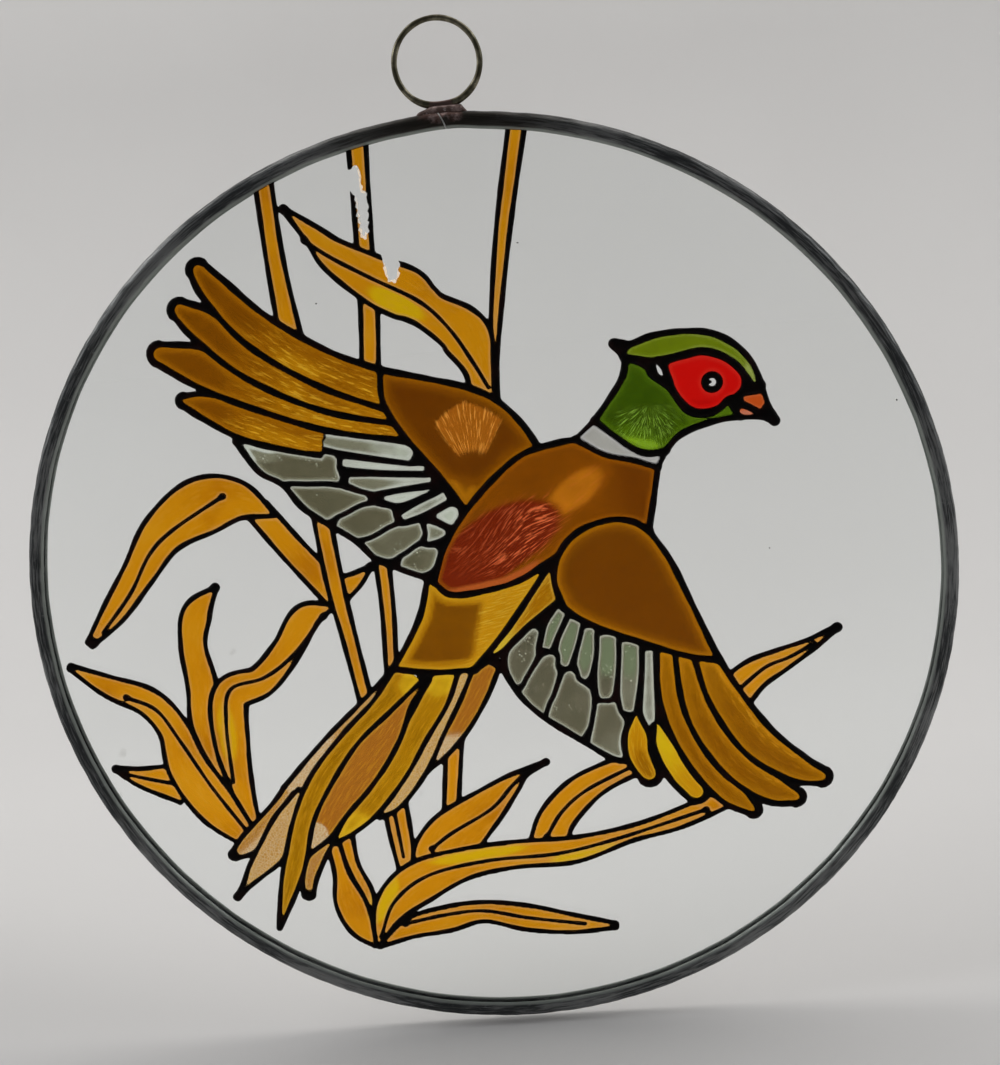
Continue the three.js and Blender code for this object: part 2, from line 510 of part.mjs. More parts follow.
// Half of the came's section as [radius, forward], from the lip round the outside to the middle
const LIP = CAME_RADIUS - CAME_FACE;
const HALF_DEPTH = CAME_DEPTH / 2;
const HALF_CHANNEL = CHANNEL / 2;
const HALF_SECTION = [
  [CAME_RADIUS - CAME_WEB, HALF_CHANNEL], [LIP, HALF_CHANNEL], [LIP + 0.2, HALF_DEPTH],
  [CAME_RADIUS - 1, HALF_DEPTH], [CAME_RADIUS, HALF_DEPTH - 1.2],
];
const section = [...HALF_SECTION.map(([r, forward]) => [r, -forward]), ...[...HALF_SECTION].reverse()];
const cameRing = new THREE.LatheGeometry(
  [...section, section[0]].map(([r, forward]) => new THREE.Vector2(r, forward)), CAME_STEPS);
cameRing.rotateX(Math.PI / 2);
const slit = cutter(asVectors([
  [-JOINT_SLIT / 2, LIP - 1], [JOINT_SLIT / 2, LIP - 1],
  [JOINT_SLIT / 2, CAME_RADIUS + 1], [-JOINT_SLIT / 2, CAME_RADIUS + 1],
]));
addMesh('lead_came', toGeometry(toSolid(cameRing).subtract(slit)), LEAD);

const RING_RADIUS = RING_OUTSIDE - WIRE / 2;
const ring = toSolid(new THREE.TorusGeometry(RING_RADIUS, WIRE / 2, 8, 28)).translate([0, RING_HEIGHT, 0]);
addMesh('hanging_ring', toGeometry(ring), BRONZE);

// The solder: a low saddle on the came, hollowed to follow the came below and the ring above
const saddle = prism(asVectors(spline([
  [-SOLDER_WIDTH / 2, 101], [-SOLDER_WIDTH / 2, 102.9], [-4.4, 103.4], [-2.4, 104.1], [2.4, 104.1],
  [4.4, 103.4], [SOLDER_WIDTH / 2, 102.9], [SOLDER_WIDTH / 2, 101],
], 3)), -SOLDER_DEPTH / 2, SOLDER_DEPTH / 2);
const ringRoom = toSolid(new THREE.TorusGeometry(RING_RADIUS, WIRE / 2 + GAP, 8, 28))
  .translate([0, RING_HEIGHT, 0]);
const cameRoom = disc(CAME_RADIUS + GAP, -THROUGH, THROUGH, CAME_STEPS);
const [solder] = largestFirst(saddle.subtract(ringRoom).subtract(cameRoom));
addMesh('came_joint_solder', toGeometry(solder), SOLDER);

export default group;
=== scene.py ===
# A round painted glass suncatcher: clear glass in a lead came, hung by a soldered ring, with a flying
# pheasant over reeds in raised black outliner and see-through stain.
# Metres, +Z up, painted front towards -Y. The drawing is in millimetres from the middle of the pane.
import math
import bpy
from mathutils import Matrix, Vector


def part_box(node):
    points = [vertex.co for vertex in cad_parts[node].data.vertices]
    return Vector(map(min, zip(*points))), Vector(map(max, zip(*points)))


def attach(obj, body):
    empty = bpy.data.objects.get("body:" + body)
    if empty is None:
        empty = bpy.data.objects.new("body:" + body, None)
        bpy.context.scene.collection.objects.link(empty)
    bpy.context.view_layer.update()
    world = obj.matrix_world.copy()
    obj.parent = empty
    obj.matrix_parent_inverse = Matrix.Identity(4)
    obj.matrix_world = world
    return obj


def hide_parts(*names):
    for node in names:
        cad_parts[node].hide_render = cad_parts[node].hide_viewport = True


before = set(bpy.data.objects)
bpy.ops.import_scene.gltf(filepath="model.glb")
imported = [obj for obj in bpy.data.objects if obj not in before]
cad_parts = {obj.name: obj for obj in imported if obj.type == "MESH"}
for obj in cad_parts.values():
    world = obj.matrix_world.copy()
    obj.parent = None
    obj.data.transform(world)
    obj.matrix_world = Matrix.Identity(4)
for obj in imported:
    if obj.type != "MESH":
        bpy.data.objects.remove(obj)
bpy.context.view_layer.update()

from types import SimpleNamespace

import bmesh
import bpy
import numpy as np
from mathutils import Matrix, Vector

# ---- The pane: a disc of clear float glass, cut round and ground at its edge.
# Everything else is measured from its middle and its painted front face.
MM = 0.001
TURN = 2 * math.pi
pane_low, pane_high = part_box("glass_disc")
PANE_UP = (pane_low.z + pane_high.z) / 2 / MM
GLASS_FACE = -pane_low.y / MM
GLASS_RADIUS = (pane_high.x - pane_low.x) / 2 / MM
GLASS_STEPS = 256
EDGE_GRIND = 0.35


def place(across, up, forward):
    """From millimetres in the pane's plane to points in metres in the part's frame."""
    across, up, forward = np.broadcast_arrays(across, up, forward)
    return np.stack([across.ravel(), -forward.ravel(), up.ravel() + PANE_UP], 1) * MM


def tube_faces(rings, sides, closed=True):
    """Quads between the rings of a tube, one after another, and back to the first if it is closed."""
    last = rings if closed else rings - 1
    return [(i * sides + k, i * sides + (k + 1) % sides, (i + 1) % rings * sides + (k + 1) % sides,
             (i + 1) % rings * sides + k) for i in range(last) for k in range(sides)]


def add_object(name, data):
    made = bpy.data.objects.new(name, data)
    bpy.context.scene.collection.objects.link(made)
    return made


def add_mesh(name, points, faces, smooth=True):
    mesh = bpy.data.meshes.new(name)
    mesh.from_pydata(points.tolist(), [], faces)
    mesh.validate()
    mesh.polygons.foreach_set("use_smooth", [smooth] * len(mesh.polygons))
    return add_object(name, mesh)


def add_piece(name, points, faces, smooth=True):
    """A piece of the part, riding on the only body."""
    piece = add_mesh(name, points, faces, smooth)
    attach(piece, "root")
    return piece


def new_material(name, *pieces):
    """Starts a material. The helpers below add to the one that was started last."""
    global tree, shader
    material = bpy.data.materials.new(name)
    material.use_nodes = True
    tree, shader = material.node_tree, material.node_tree.nodes["Principled BSDF"]
    for piece in pieces:
        piece.data.materials.append(material)
    return material


def feed(node, **inputs):
    """Inputs are named, or numbered as in0, in1, and take a value or another node's output."""
    for key, value in inputs.items():
        socket = node.inputs[int(key[2:])] if key[2:].isdigit() else node.inputs[key.replace("_", " ")]
        if isinstance(value, bpy.types.NodeSocket):
            tree.links.new(value, socket)
        else:
            socket.default_value = value


def put(kind, setup=None, **inputs):
    """Adds a node."""
    made = tree.nodes.new(kind)
    for key, value in (setup or {}).items():
        setattr(made, key, value)
    feed(made, **inputs)
    return made


def calc(operation, a, b):
    return put("ShaderNodeMath", {"operation": operation}, in0=a, in1=b).outputs[0]


def plus(a, b):
    return calc("ADD", a, b)


def times(a, b):
    return calc("MULTIPLY", a, b)


def mix(share, a, b):
    """A colour between a and b. Plain colours are given as three numbers."""
    a, b = [(*c, 1) if isinstance(c, tuple) else c for c in (a, b)]
    return put("ShaderNodeMix", {"data_type": "RGBA"}, in0=share, in6=a, in7=b).outputs[2]


def ease(value, start, end, low=0.0, high=1.0):
    """Smooth step from low to high while the value goes from start to end."""
    return put("ShaderNodeMapRange", {"interpolation_type": "SMOOTHSTEP"}, Value=value, From_Min=start,
               From_Max=end, To_Min=low, To_Max=high).outputs[0]


def noise(place_on, scale, detail=3.0, roughness=0.55):
    return put("ShaderNodeTexNoise", Vector=place_on, Scale=scale, Detail=detail,
               Roughness=roughness).outputs[0]


def object_place():
    return put("ShaderNodeTexCoord").outputs["Object"]


ground = GLASS_RADIUS - EDGE_GRIND
radius = np.array([ground, GLASS_RADIUS, GLASS_RADIUS, ground])
forward = np.array([-GLASS_FACE, -GLASS_FACE + EDGE_GRIND, GLASS_FACE - EDGE_GRIND, GLASS_FACE])
turn = np.arange(GLASS_STEPS)[:, None] / GLASS_STEPS * TURN
faces = [face for face in tube_faces(GLASS_STEPS, 4) if face[0] % 4 < 3]
faces.append(tuple(i * 4 for i in range(GLASS_STEPS)))
faces.append(tuple(i * 4 + 3 for i in reversed(range(GLASS_STEPS))))
glass = add_piece("clear_pane", place(radius * np.sin(turn), radius * np.cos(turn), forward), faces,
                  smooth=False)
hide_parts("glass_disc")

new_material("clear float glass", glass)
coords = object_place()
# Faint smudges on both faces, each round a point in the middle of the glass
SMUDGE_GAIN = 0.6
SMUDGE_EDGE = 0.5
dirt = 0.0
for x, z, radius in ((-58.5, -9.5, 0.9), (-87, -31.5, 1.1), (-89, -41.5, 0.8), (-19.5, -46.5, 0.8)):
    middle = (x * MM, 0, (z + PANE_UP) * MM)
    away = put("ShaderNodeVectorMath", {"operation": "DISTANCE"}, in0=coords, in1=middle).outputs["Value"]
    near = plus(away, times(noise(coords, 900.0), 0.001))
    reach = (GLASS_FACE + (radius + SMUDGE_EDGE) * SMUDGE_GAIN) * MM
    dirt = plus(dirt, ease(near, reach, reach - SMUDGE_EDGE * MM, 0.0, 0.28))
feed(shader, Base_Color=mix(dirt, (0.965, 0.985, 0.98), (0.5, 0.49, 0.45)), Transmission_Weight=1.0, IOR=1.5,
     Roughness=ease(noise(coords, 28.0, 4.0), 0.5, 0.8, 0.0, 0.035))

# ---- The outliner: black relief paint piped on the glass from a nozzle, line by line.
# It runs together where lines meet, swells into a blob where the nozzle lifts, and stands 0.7 mm high.
LEAF_LINE = 1.15
BIRD_LINE = 1.5
TAIL_LINE = 1.2
RIB_LINE = 0.9
RIB_BLOB = 0.72
TIP_SWELL = 1.1
WEB_LINE = 1.15
SWELL = 0.9
BROAD = (2.2, 4.7)
OPENED = 0.2
LINE_HEIGHT = 0.72
ROUND_OVER = 0.62
UNEVEN = 0.09
MELT = 0.5
FILLET = 0.8
WINDOW_FILLET = 0.9
CELL = 0.37
REACH = 4.2
FAR = 9.0
HALF_SPAN = 99.0
SPLINE_STEPS = 10

grid = np.arange(-HALF_SPAN, HALF_SPAN + CELL, CELL)
GX, GZ = np.meshgrid(grid, grid)
ink = np.full(GX.shape, FAR)
owner = np.zeros(GX.shape, int)
along, share_along, aside = np.zeros((3, *GX.shape))
film_of = [""]
rng = np.random.default_rng(11)


def spline(points):
    """A Catmull-Rom spline through points of any dimension."""
    p = np.array(points, float)
    p = np.vstack([2 * p[0] - p[1], p, 2 * p[-1] - p[-2]])
    t = np.linspace(0, 1, SPLINE_STEPS, endpoint=False)[:, None]
    path = [b + 0.5 * t * (c - a + t * (2 * a - 5 * b + 4 * c - d + t * (3 * (b - c) + d - a)))
            for a, b, c, d in zip(p, p[1:], p[2:], p[3:])]
    return np.vstack(path + [p[-2:-1]])


def run_of(path):
    """How far along a path each of its points lies."""
    return np.concatenate([[0], np.cumsum(np.hypot(*np.diff(path, axis=0).T))])


def blade_sides(spine):
    """Both sides of a leaf or feather whose spine is a list of [across, up, width]."""
    path = spline(spine)
    turn = np.gradient(path[:, :2], axis=0)
    turn /= np.hypot(*turn.T)[:, None]
    normal = np.stack([-turn[:, 1], turn[:, 0]], 1)
    offset = normal * np.maximum(path[:, 2:], 0) / 2
    return path[:, :2] + offset, path[:, :2] - offset


def round_tip(left, right):
    """Half a circle between the ends of two sides."""
    middle = (left[-1] + right[-1]) / 2
    x, y = left[-1] - middle
    angles = -np.linspace(0, math.pi, 9)[1:-1]
    return np.stack([middle[0] + np.cos(angles) * x - np.sin(angles) * y,
                     middle[1] + np.sin(angles) * x + np.cos(angles) * y], 1)


def window(low, high):
    """The part of the grid between two corners, to index its arrays by."""
    first = np.clip(((np.array(low) + HALF_SPAN) / CELL).astype(int), 0, len(grid) - 1)
    last = np.clip(((np.array(high) + HALF_SPAN) / CELL).astype(int) + 2, 1, len(grid))
    return slice(first[1], last[1]), slice(first[0], last[0])


def line_distance(path, half):
    """How far each place on the grid is from the edge of a line, in mm, negative inside it."""
    half = np.broadcast_to(half, len(path))
    here = window(path.min(0) - REACH, path.max(0) + REACH)
    near = np.full(GX[here].shape, FAR)
    top, left = here[0].start, here[1].start
    for a, b, ha, hb in zip(path, path[1:], half, half[1:]):
        r, c = window(np.minimum(a, b) - REACH, np.maximum(a, b) + REACH)
        x, z = GX[r, c] - a[0], GZ[r, c] - a[1]
        dx, dz = b - a
        share = np.clip((x * dx + z * dz) / max(dx * dx + dz * dz, 1e-9), 0, 1)
        gap = np.hypot(x - share * dx, z - share * dz) - (ha + (hb - ha) * share)
        part = near[r.start - top:r.stop - top, c.start - left:c.stop - left]
        np.minimum(part, gap, out=part)
    return here, near


def inside(outline, here):
    """Which places of that part of the grid lie inside a closed outline."""
    x, z = GX[here], GZ[here]
    odd = np.zeros(x.shape, bool)
    for (ax, az), (bx, bz) in zip(outline, np.roll(outline, -1, axis=0)):
        if az != bz:
            odd ^= ((az > z) != (bz > z)) & (x < ax + (z - az) / (bz - az) * (bx - ax))
    return odd


def area_distance(outline):
    """The same for a closed outline, negative all over its inside."""
    here, near = line_distance(np.vstack([outline, outline[:1]]), 0.0)
    return here, np.where(inside(outline, here), -near, near)


def melt(a, b, width=MELT):
    """The lower of two distances, with a fillet where they are alike."""
    share = np.clip(0.5 + 0.5 * (b - a) / width, 0, 1)
    return b + (a - b) * share - width * share * (1 - share)


def pipe_line(path, width):
    """A line of outliner whose width wavers as the hand's pressure does."""
    run = run_of(path)
    slow, quick = rng.uniform(0, TURN, 2)
    half = width / 2 * (1 + UNEVEN * np.sin(run / 2.7 + slow) + UNEVEN / 2 * np.sin(run / 0.9 + quick))
    here, near = line_distance(path, half)
    ink[here] = melt(ink[here], near)


def blob(x, z, radius):
    here, near = line_distance(np.array([[x, z], [x + 0.05, z]]), radius)
    ink[here] = melt(ink[here], near, FILLET)


def follow(path, here, mask):
    """For each place: how far along a path it lies, in mm and from 0 to 1, and how far to its side."""
    x, z = GX[here][mask], GZ[here][mask]
    best = np.full(x.shape, FAR * 10)
    way, side = np.zeros((2, *x.shape))
    run = run_of(path)
    for (ax, az), (dx, dz), start in zip(path, np.diff(path, axis=0), run):
        length = math.hypot(dx, dz)
        share = np.clip(((x - ax) * dx + (z - az) * dz) / length ** 2, 0, 1)
        gap = np.hypot(x - ax - share * dx, z - az - share * dz)
        closer = gap < best
        best = np.where(closer, gap, best)
        way = np.where(closer, start + share * length, way)
        side = np.where(closer, np.sign(dx * (z - az) - dz * (x - ax)) * gap, side)
    along[here][mask] = way
    share_along[here][mask] = way / run[-1]
    aside[here][mask] = side


def paint(film, outline, centre, lines, width):
    """One shape of the drawing. It hides what was drawn before it, as a nearer feather does."""
    film_of.append(film)
    here = window(outline.min(0) - 1, outline.max(0) + 1)
    mask = inside(outline, here)
    ink[here][mask] = FAR
    owner[here][mask] = len(film_of) - 1
    follow(centre, here, mask)
    for path in lines:
        pipe_line(path, width)
    return here, mask


def leaf(film, spine, rib=None, width=LEAF_LINE):
    left, right = blade_sides(spine)
    paint(film, np.vstack([left, right[::-1]]), spline(spine)[:, :2], [left, right], width)
    if rib:
        pipe_line(spline(rib), RIB_LINE)
        blob(*rib[0], RIB_BLOB)


def feather(film, spine):
    left, right = blade_sides(spine)
    tip = round_tip(left, right)
    around = np.vstack([left, tip, right[::-1]])
    paint(film, around, spline(spine)[:, :2], [around], BIRD_LINE)
    pipe_line(tip, BIRD_LINE * TIP_SWELL)


def patch(film, edges, centre, width=BIRD_LINE):
    """An area with corners. Each edge but the first goes on from the end of the one before."""
    starts = [[]] + [edge[-1:] for edge in edges]
    paths = [spline(start + edge) for start, edge in zip(starts, edges)]
    return paint(film, np.vstack([path[:-1] for path in paths]), np.array(centre, float), paths, width)


def web(film, edges, windows, centre, width=BIRD_LINE):
    """An area left black but for windows, each a blade like a leaf's and a cell of its own.
    Broad windows swell until a line of even width is left between them."""
    here, mask = patch(film, edges, centre, width)
    solid = np.full(mask.shape, -REACH)
    nearness = []
    for spine in windows:
        left, right = blade_sides(spine)
        whole = np.full(GX.shape, FAR)
        around, near = area_distance(np.vstack([left, right[::-1]]))
        whole[around] = near
        nearness.append(whole[here])
    for number, (spine, near) in enumerate(zip(windows, nearness)):
        others = np.min(nearness[:number] + nearness[number + 1:], axis=0)
        swell = np.interp(max(wide for _, _, wide in spine), BROAD, (0, SWELL))
        hole = -melt(swell - near, (others - near - WEB_LINE) / 2, FILLET)
        solid = -melt(-solid, hole, WINDOW_FILLET)
        film_of.append(film)
        opened = mask & (hole < OPENED)
        owner[here][opened] = len(film_of) - 1
        follow(spline(spine)[:, :2], here, opened)
    ink[here] = np.where(mask, np.minimum(ink[here], solid), ink[here])


# Reeds, from the left of the pane to the right
leaf("left_stalk", [[-38.8, 97, 3.4], [-38.2, 76, 3.6], [-36.6, 57, 4.8]])
leaf("upper_reeds", [[-18, 101, 3.8], [-18.8, 80, 3.2], [-19.3, 65, 3.6], [-20.8, 48, 3.6]])
leaf("upper_reeds", [[15.8, 101, 3.4], [10.2, 76, 2.8], [6.2, 52, 1.6], [5.6, 41, 1]])
leaf("upper_reeds",
     [[-35.2, 86.4, 0.4], [-29.4, 80.2, 4], [-25.2, 75.4, 7], [-16.9, 69.5, 10], [-11.2, 66.4, 10.8],
      [-8.2, 64, 8.8], [-5.8, 61.9, 8.1], [-0.8, 58.2, 10], [1.2, 55, 10.2], [2.8, 49, 6.2], [3, 43, 5]],
     [[-31.5, 79.4], [-26.4, 75.4], [-18.4, 70.4], [-8.4, 64.4], [-2.6, 58], [1.8, 50.3], [4.4, 45]])
leaf("left_reeds", [[-48.6, 22.5, 5.4], [-42, 13, 5.6], [-34, 2.5, 6]])
leaf("left_reeds",
     [[-90.5, -5, 1.4], [-84, 1.8, 5.2], [-77, 10.5, 7], [-70.3, 19, 9.4], [-61, 24.3, 12.4], [-53, 25, 9],
      [-45.2, 21.2, 0.6]],
     [[-56, 26.2], [-68, 19.6], [-74, 14.5], [-79.5, 6], [-87, -2.5]])
leaf("left_reeds", [[-33, 3, 6], [-29, 5, 3.4], [-25.2, 7.8, 0.4]])
leaf("left_reeds",
     [[-88.6, -35, 0.8], [-83, -37.4, 4.6], [-74, -39.5, 9.4]],
     [[-87, -36.2], [-81, -38], [-75, -39.6]])
leaf("left_reeds", [[-60.3, 5.8, 0.5], [-65.2, 0.4, 6], [-67.1, -7, 5.6], [-66.3, -17, 6.6], [-67, -27, 5.6],
                    [-63, -41, 3]])
leaf("left_reeds",
     [[-35, -0.6, 1], [-41, -2.6, 6], [-46.2, -9.8, 6.2], [-52.6, -16.4, 6.8], [-60.2, -19.6, 8.2],
      [-61.4, -31, 7.6], [-60.4, -42, 5], [-59.4, -52, 4]],
     [[-37, -2.6], [-45, -11.2], [-52, -15.8], [-60, -18], [-62, -26], [-62.2, -40]])
leaf("left_reeds",
     [[-95.8, -10, 1], [-87.5, -15.2, 4.8], [-79, -19.6, 6.4], [-74.2, -26.5, 7], [-72, -36, 9.4],
      [-66.5, -46, 9.4], [-59.5, -55, 4]],
     [[-84, -18], [-77.5, -21.6], [-73, -29.5], [-67.5, -40.5], [-61, -51.5]])
leaf("left_reeds", [[-35, 23, 3.6], [-33.6, 5, 3.6], [-31.8, -8, 3], [-29.6, -24, 2.8]])
leaf("middle_stalk", [[-22.6, 12, 3], [-22.5, -3, 2.6], [-23.4, -19, 2.2]])
leaf("right_reed",
     [[50, -30, 9], [56.5, -23.8, 7], [63, -20.6, 5], [69.5, -17.6, 2.6], [75.6, -14, 0.6]],
     [[53, -27], [59.5, -22], [65, -20], [70.5, -17.2]])
leaf("lower_reeds", [[-25.8, -46, 4.8], [-25.4, -54, 5], [-24.6, -64, 4]], [[-26.2, -49], [-25.2, -61]])
leaf("lower_reeds", [[-10.4, -31, 3.6], [-13.5, -53, 3.2]])
leaf("lower_reeds",
     [[-15.6, -64.6, 15.4], [-14.6, -60.6, 15.8], [-12, -56, 12.6], [-4.5, -49.8, 8.2], [1, -45.2, 4.4],
      [4.5, -42.6, 1.6], [9.4, -40.4, 0.4]],
     [[-18.5, -59.5], [-13.5, -56], [-4, -50.8], [1.2, -45.6], [4.6, -42.6]])
leaf("lower_reeds",
     [[8, -61, 8.4], [10.5, -54.5, 8], [16, -48.6, 7.4], [22, -45, 6], [31, -41.5, 5]],
     [[8, -58.5], [12, -52.6], [18, -47.8], [28, -43.2]])
leaf("lower_reeds", [[-38.2, -54, 3.6], [-37.2, -62, 2.8], [-34.6, -69, 2.6], [-33.6, -74, 1]])
leaf("lower_reeds", [[-41.2, -55, 2.6], [-39.9, -64, 3.4], [-38.8, -71, 6.8], [-36.8, -77.5, 5.8],
                     [-33.8, -82.6, 0.8]])
leaf("lower_reeds",
     [[-33, -82.6, 0.8], [-25, -78.6, 4.8], [-16.5, -77, 6], [-8, -75.8, 4.8], [2, -78, 6], [12, -80.1, 4.4],
      [22, -81.3, 1.2]],
     [[-26.5, -77.6], [-17, -76], [-8, -75.6], [2, -78], [15, -80.4]])
leaf("lower_reeds",
     [[-33.6, -82.6, 0.8], [-29.6, -73.5, 7.4], [-22, -67.4, 10], [-11, -63.6, 7.2], [1, -62.2, 6.2],
      [14, -62, 6], [27, -59, 3.6], [38, -56.2, 4.4], [50, -51.5, 4.4]],
     [[44.5, -54.4], [24, -60], [10, -62.7], [-6, -63.3], [-20, -66], [-28.5, -72], [-32.5, -80.5]])

# Far wing: the grey feathers under the long ones, and the shoulder over both
web("far_wing_grey", [
    [[-14, 40], [-31, 40], [-51.5, 38]],
    [[-47.3, 31], [-42.4, 27.6], [-38, 21.6], [-28, 14], [-24, 9.6], [-18.5, 6.6], [-12.5, 4]],
    [[-4, 18], [-14, 38]],
], [
    [[-50.6, 37.2, 0.6], [-43, 32.6, 6], [-30.2, 30.2, 4.4]],
    [[-40.6, 26.4, 0.8], [-33.5, 23, 6], [-24.8, 23.3, 0.8]],
    [[-30.8, 18.4, 1.4], [-25.6, 17.9, 6.2], [-19.6, 18.8, 2.6]],
    [[-25.8, 12.9, 0.6], [-19.8, 12.9, 5.6], [-13.4, 15.3, 2]],
    [[-17.8, 8.5, 1.6], [-14, 8.7, 4.6], [-10.8, 9.7, 1.4]],
    [[-32.8, 36.9, 2], [-27, 35.7, 3.4], [-13.8, 31.9, 2.8]],
    [[-29, 31.5, 1.7], [-20, 29.8, 1.6], [-11.2, 28.6, 1]],
    [[-27.6, 27.4, 1], [-22.4, 26.2, 2.9], [-10.2, 26.1, 0.7]],
    [[-20.6, 22.9, 0.8], [-17, 22.7, 2.2], [-10, 23.8, 0.3]],
    [[-17, 18.2, 1.2], [-12.6, 20, 2], [-7.2, 22.2, 1.8]],
    [[-9.2, 18, 0.4], [-6.2, 17.8, 3.4], [-4.4, 18, 0.6]],
    [[-11.8, 14.4, 3.4], [-10, 14.3, 2.2], [-8.4, 14.2, 0.6]],
], [[-8, 18], [-45, 30]])
for spine in (
    [[-32.6, 36.2, 5.6], [-38, 38, 6.8], [-48, 42.2, 8.6], [-57, 46.2, 5.6], [-61.6, 47.8, 2.4]],
    [[-12, 37.6, 6], [-30, 42.4, 7.8], [-46, 49.4, 9], [-57, 54.8, 8.6], [-65.4, 58.2, 4.6]],
    [[-12, 41.5, 7], [-30, 46.6, 7.8], [-45, 55, 8.6], [-55.4, 63.6, 7], [-59.8, 67.2, 4.2]],
    [[-15, 45.2, 8], [-30, 51.8, 7.8], [-43.6, 61.2, 7.6], [-51.8, 70.6, 6], [-54.8, 75.2, 4]],
):
    feather("far_wing_primary", spine)
patch("far_wing_shoulder", [
    [[-18.5, 50.8], [-9, 48.2], [0, 45.4], [6, 42], [11, 36.4], [15, 29]],
    [[6, 24], [-2, 17]],
    [[-9, 28], [-15.4, 37], [-18.6, 44], [-18.5, 50.8]],
], [[-2, 20], [-3, 48]])

# Tail: the outer feathers first, the middle ones over them
for spine in (
    [[-42, -56.4, 1.6], [-45.4, -60, 3.8], [-47.4, -64.6, 3.2], [-48.2, -69, 2.2]],
    [[-2, -16.4, 6.2], [-5.4, -22.8, 6.6], [-9.9, -30, 6], [-13.8, -35.8, 3.6], [-17.6, -40.4, 0.6]],
    [[-7, -18, 3.2], [-10.1, -24, 3.3], [-14.7, -31.6, 3.6], [-19.4, -39.6, 4.1], [-25.8, -47.2, 4],
     [-29.8, -50.8, 0.8]],
    [[-10.8, -17.2, 5.2], [-14.2, -23.7, 6.2], [-19.5, -31.6, 5.9], [-24.3, -39.6, 5.2], [-31.4, -47.6, 5.6],
     [-36.6, -52.5, 4], [-40.8, -56.4, 0.6]],
    [[-22.2, -16.8, 2], [-30.6, -25, 2.9], [-38.1, -32.3, 4], [-44.1, -39, 5.2], [-50.2, -43.2, 2.4]],
    [[-49.8, -43, 2.4], [-52.6, -46.6, 2.8], [-56.4, -51.6, 4.8], [-60.6, -55.4, 4.6], [-64.4, -58, 1.8]],
    [[-46.6, -43.2, 2], [-51.1, -50.6, 6], [-55.2, -57.2, 6.4], [-59.4, -61.8, 4.2], [-62.4, -65.4, 1.6],
     [-65, -68.4, 0.6]],
    [[-15.6, -18.6, 1.8], [-21.2, -23.6, 4], [-26.5, -30.8, 8], [-33.8, -39.8, 9.4], [-40.1, -47.5, 7.8],
     [-44.2, -53.7, 5.8], [-47.4, -58.8, 0.8]],
    [[-19.2, -17, 6.8], [-26.2, -24.4, 4.5], [-34.2, -31.6, 4], [-42, -41, 5], [-47, -50, 4.6],
     [-50.2, -60, 4.9], [-52.6, -67, 3.8], [-56, -76.8, 0.4]],
):
    leaf("tail", spine, width=TAIL_LINE)

# Body, with the rump under the breast and the near wing over both
patch("rump", [
    [[-13, 4], [-15.4, -4], [-19.6, -11.4], [-23, -16]],
    [[-14, -17.5], [-4.6, -17.6]],
    [[4.2, -8], [14.6, 5.6]],
    [[0, 4], [-13, 4]],
], [[-14, -16], [6, 4]])
patch("flank", [
    [[-4.6, -17.6], [4.2, -8], [14.6, 5.6]],
    [[15.8, -3]],
    [[8, -8.8], [2.6, -13.4], [-4.6, -17.6]],
], [[-4, -17], [15, 2]])
patch("breast", [
    [[-11.6, 3], [-8.6, 11], [-3, 18.6], [3.4, 25], [10.4, 30], [18, 31.8], [22, 32.2]],
    [[28, 28.6], [33.6, 27], [39.2, 24.8]],
    [[37.6, 17], [36, 10]],
    [[20, 8.6], [8, 2.4], [0, 0.4], [-8, 0], [-11.6, 3]],
], [[-10, 2], [14, 17], [38, 24]])
web("near_wing_grey", [
    [[16, -3], [8, -9], [3, -13.6], [1.8, -18]],
    [[5, -24.4], [9.6, -29.6], [17.4, -35.6], [25, -41], [30, -41]],
    [[37, -32], [37, -14]],
    [[26, -8], [16, -3]],
], [
    [[9.7, -10, 0.6], [6.2, -15.4, 4.4], [4.9, -21.2, 1]],
    [[13, -15.8, 1.6], [10.6, -20.4, 4.7], [8.9, -24.6, 5.7], [9.2, -28.6, 1.2]],
    [[16.9, -20, 1.6], [16.6, -25.6, 7.2], [15.2, -31, 8.4], [14.6, -34.2, 5]],
    [[24, -27.6, 3], [24.1, -32, 5.4], [23.2, -39.4, 5.9]],
    [[16, -5.5, 1.8], [13.7, -9.2, 2.5], [11.7, -13.8, 1.6]],
    [[18.7, -8.1, 2.4], [16.7, -13, 3.5], [15.2, -17.9, 1.4]],
    [[21.5, -10.2, 1.9], [20.5, -15.6, 3.3], [19.1, -21.6, 1.6]],
    [[25.4, -12.3, 3.2], [24.9, -19, 3.7], [23.9, -26.4, 1.8]],
    [[30.3, -14.3, 3.3], [29.7, -21, 3.7], [28.6, -29.5, 1.8]],
    [[34.3, -16.2, 1.7], [33.8, -23, 2], [33.2, -31.6, 2.4], [33.4, -33.6, 0.8]],
], [[24, -8], [20, -40]])
feather("near_wing_gold", [[30.4, -30.8, 1.6], [30.2, -35.6, 5.4], [30.4, -40.4, 5.6], [32.4, -45, 4.6]])
feather("near_wing_gold", [[35, -33.4, 1.8], [36.2, -38.4, 4.6], [39, -45, 5.2], [42.6, -49.9, 4.8]])
for spine in (
    [[38.4, -13, 4.6], [39, -29, 6], [44, -41.6, 6.6], [50, -50.2, 6.2], [55, -55.2, 2.6]],
    [[42.6, -14, 5.6], [44.6, -30, 7], [51, -42, 8.2], [59, -50, 7], [64.6, -52.8, 3.4]],
    [[46, -16.8, 4.4], [50.2, -28, 7.2], [57, -39, 8], [65, -45.8, 6.4], [70.6, -48.4, 3.6]],
):
    feather("near_wing_primary", spine)
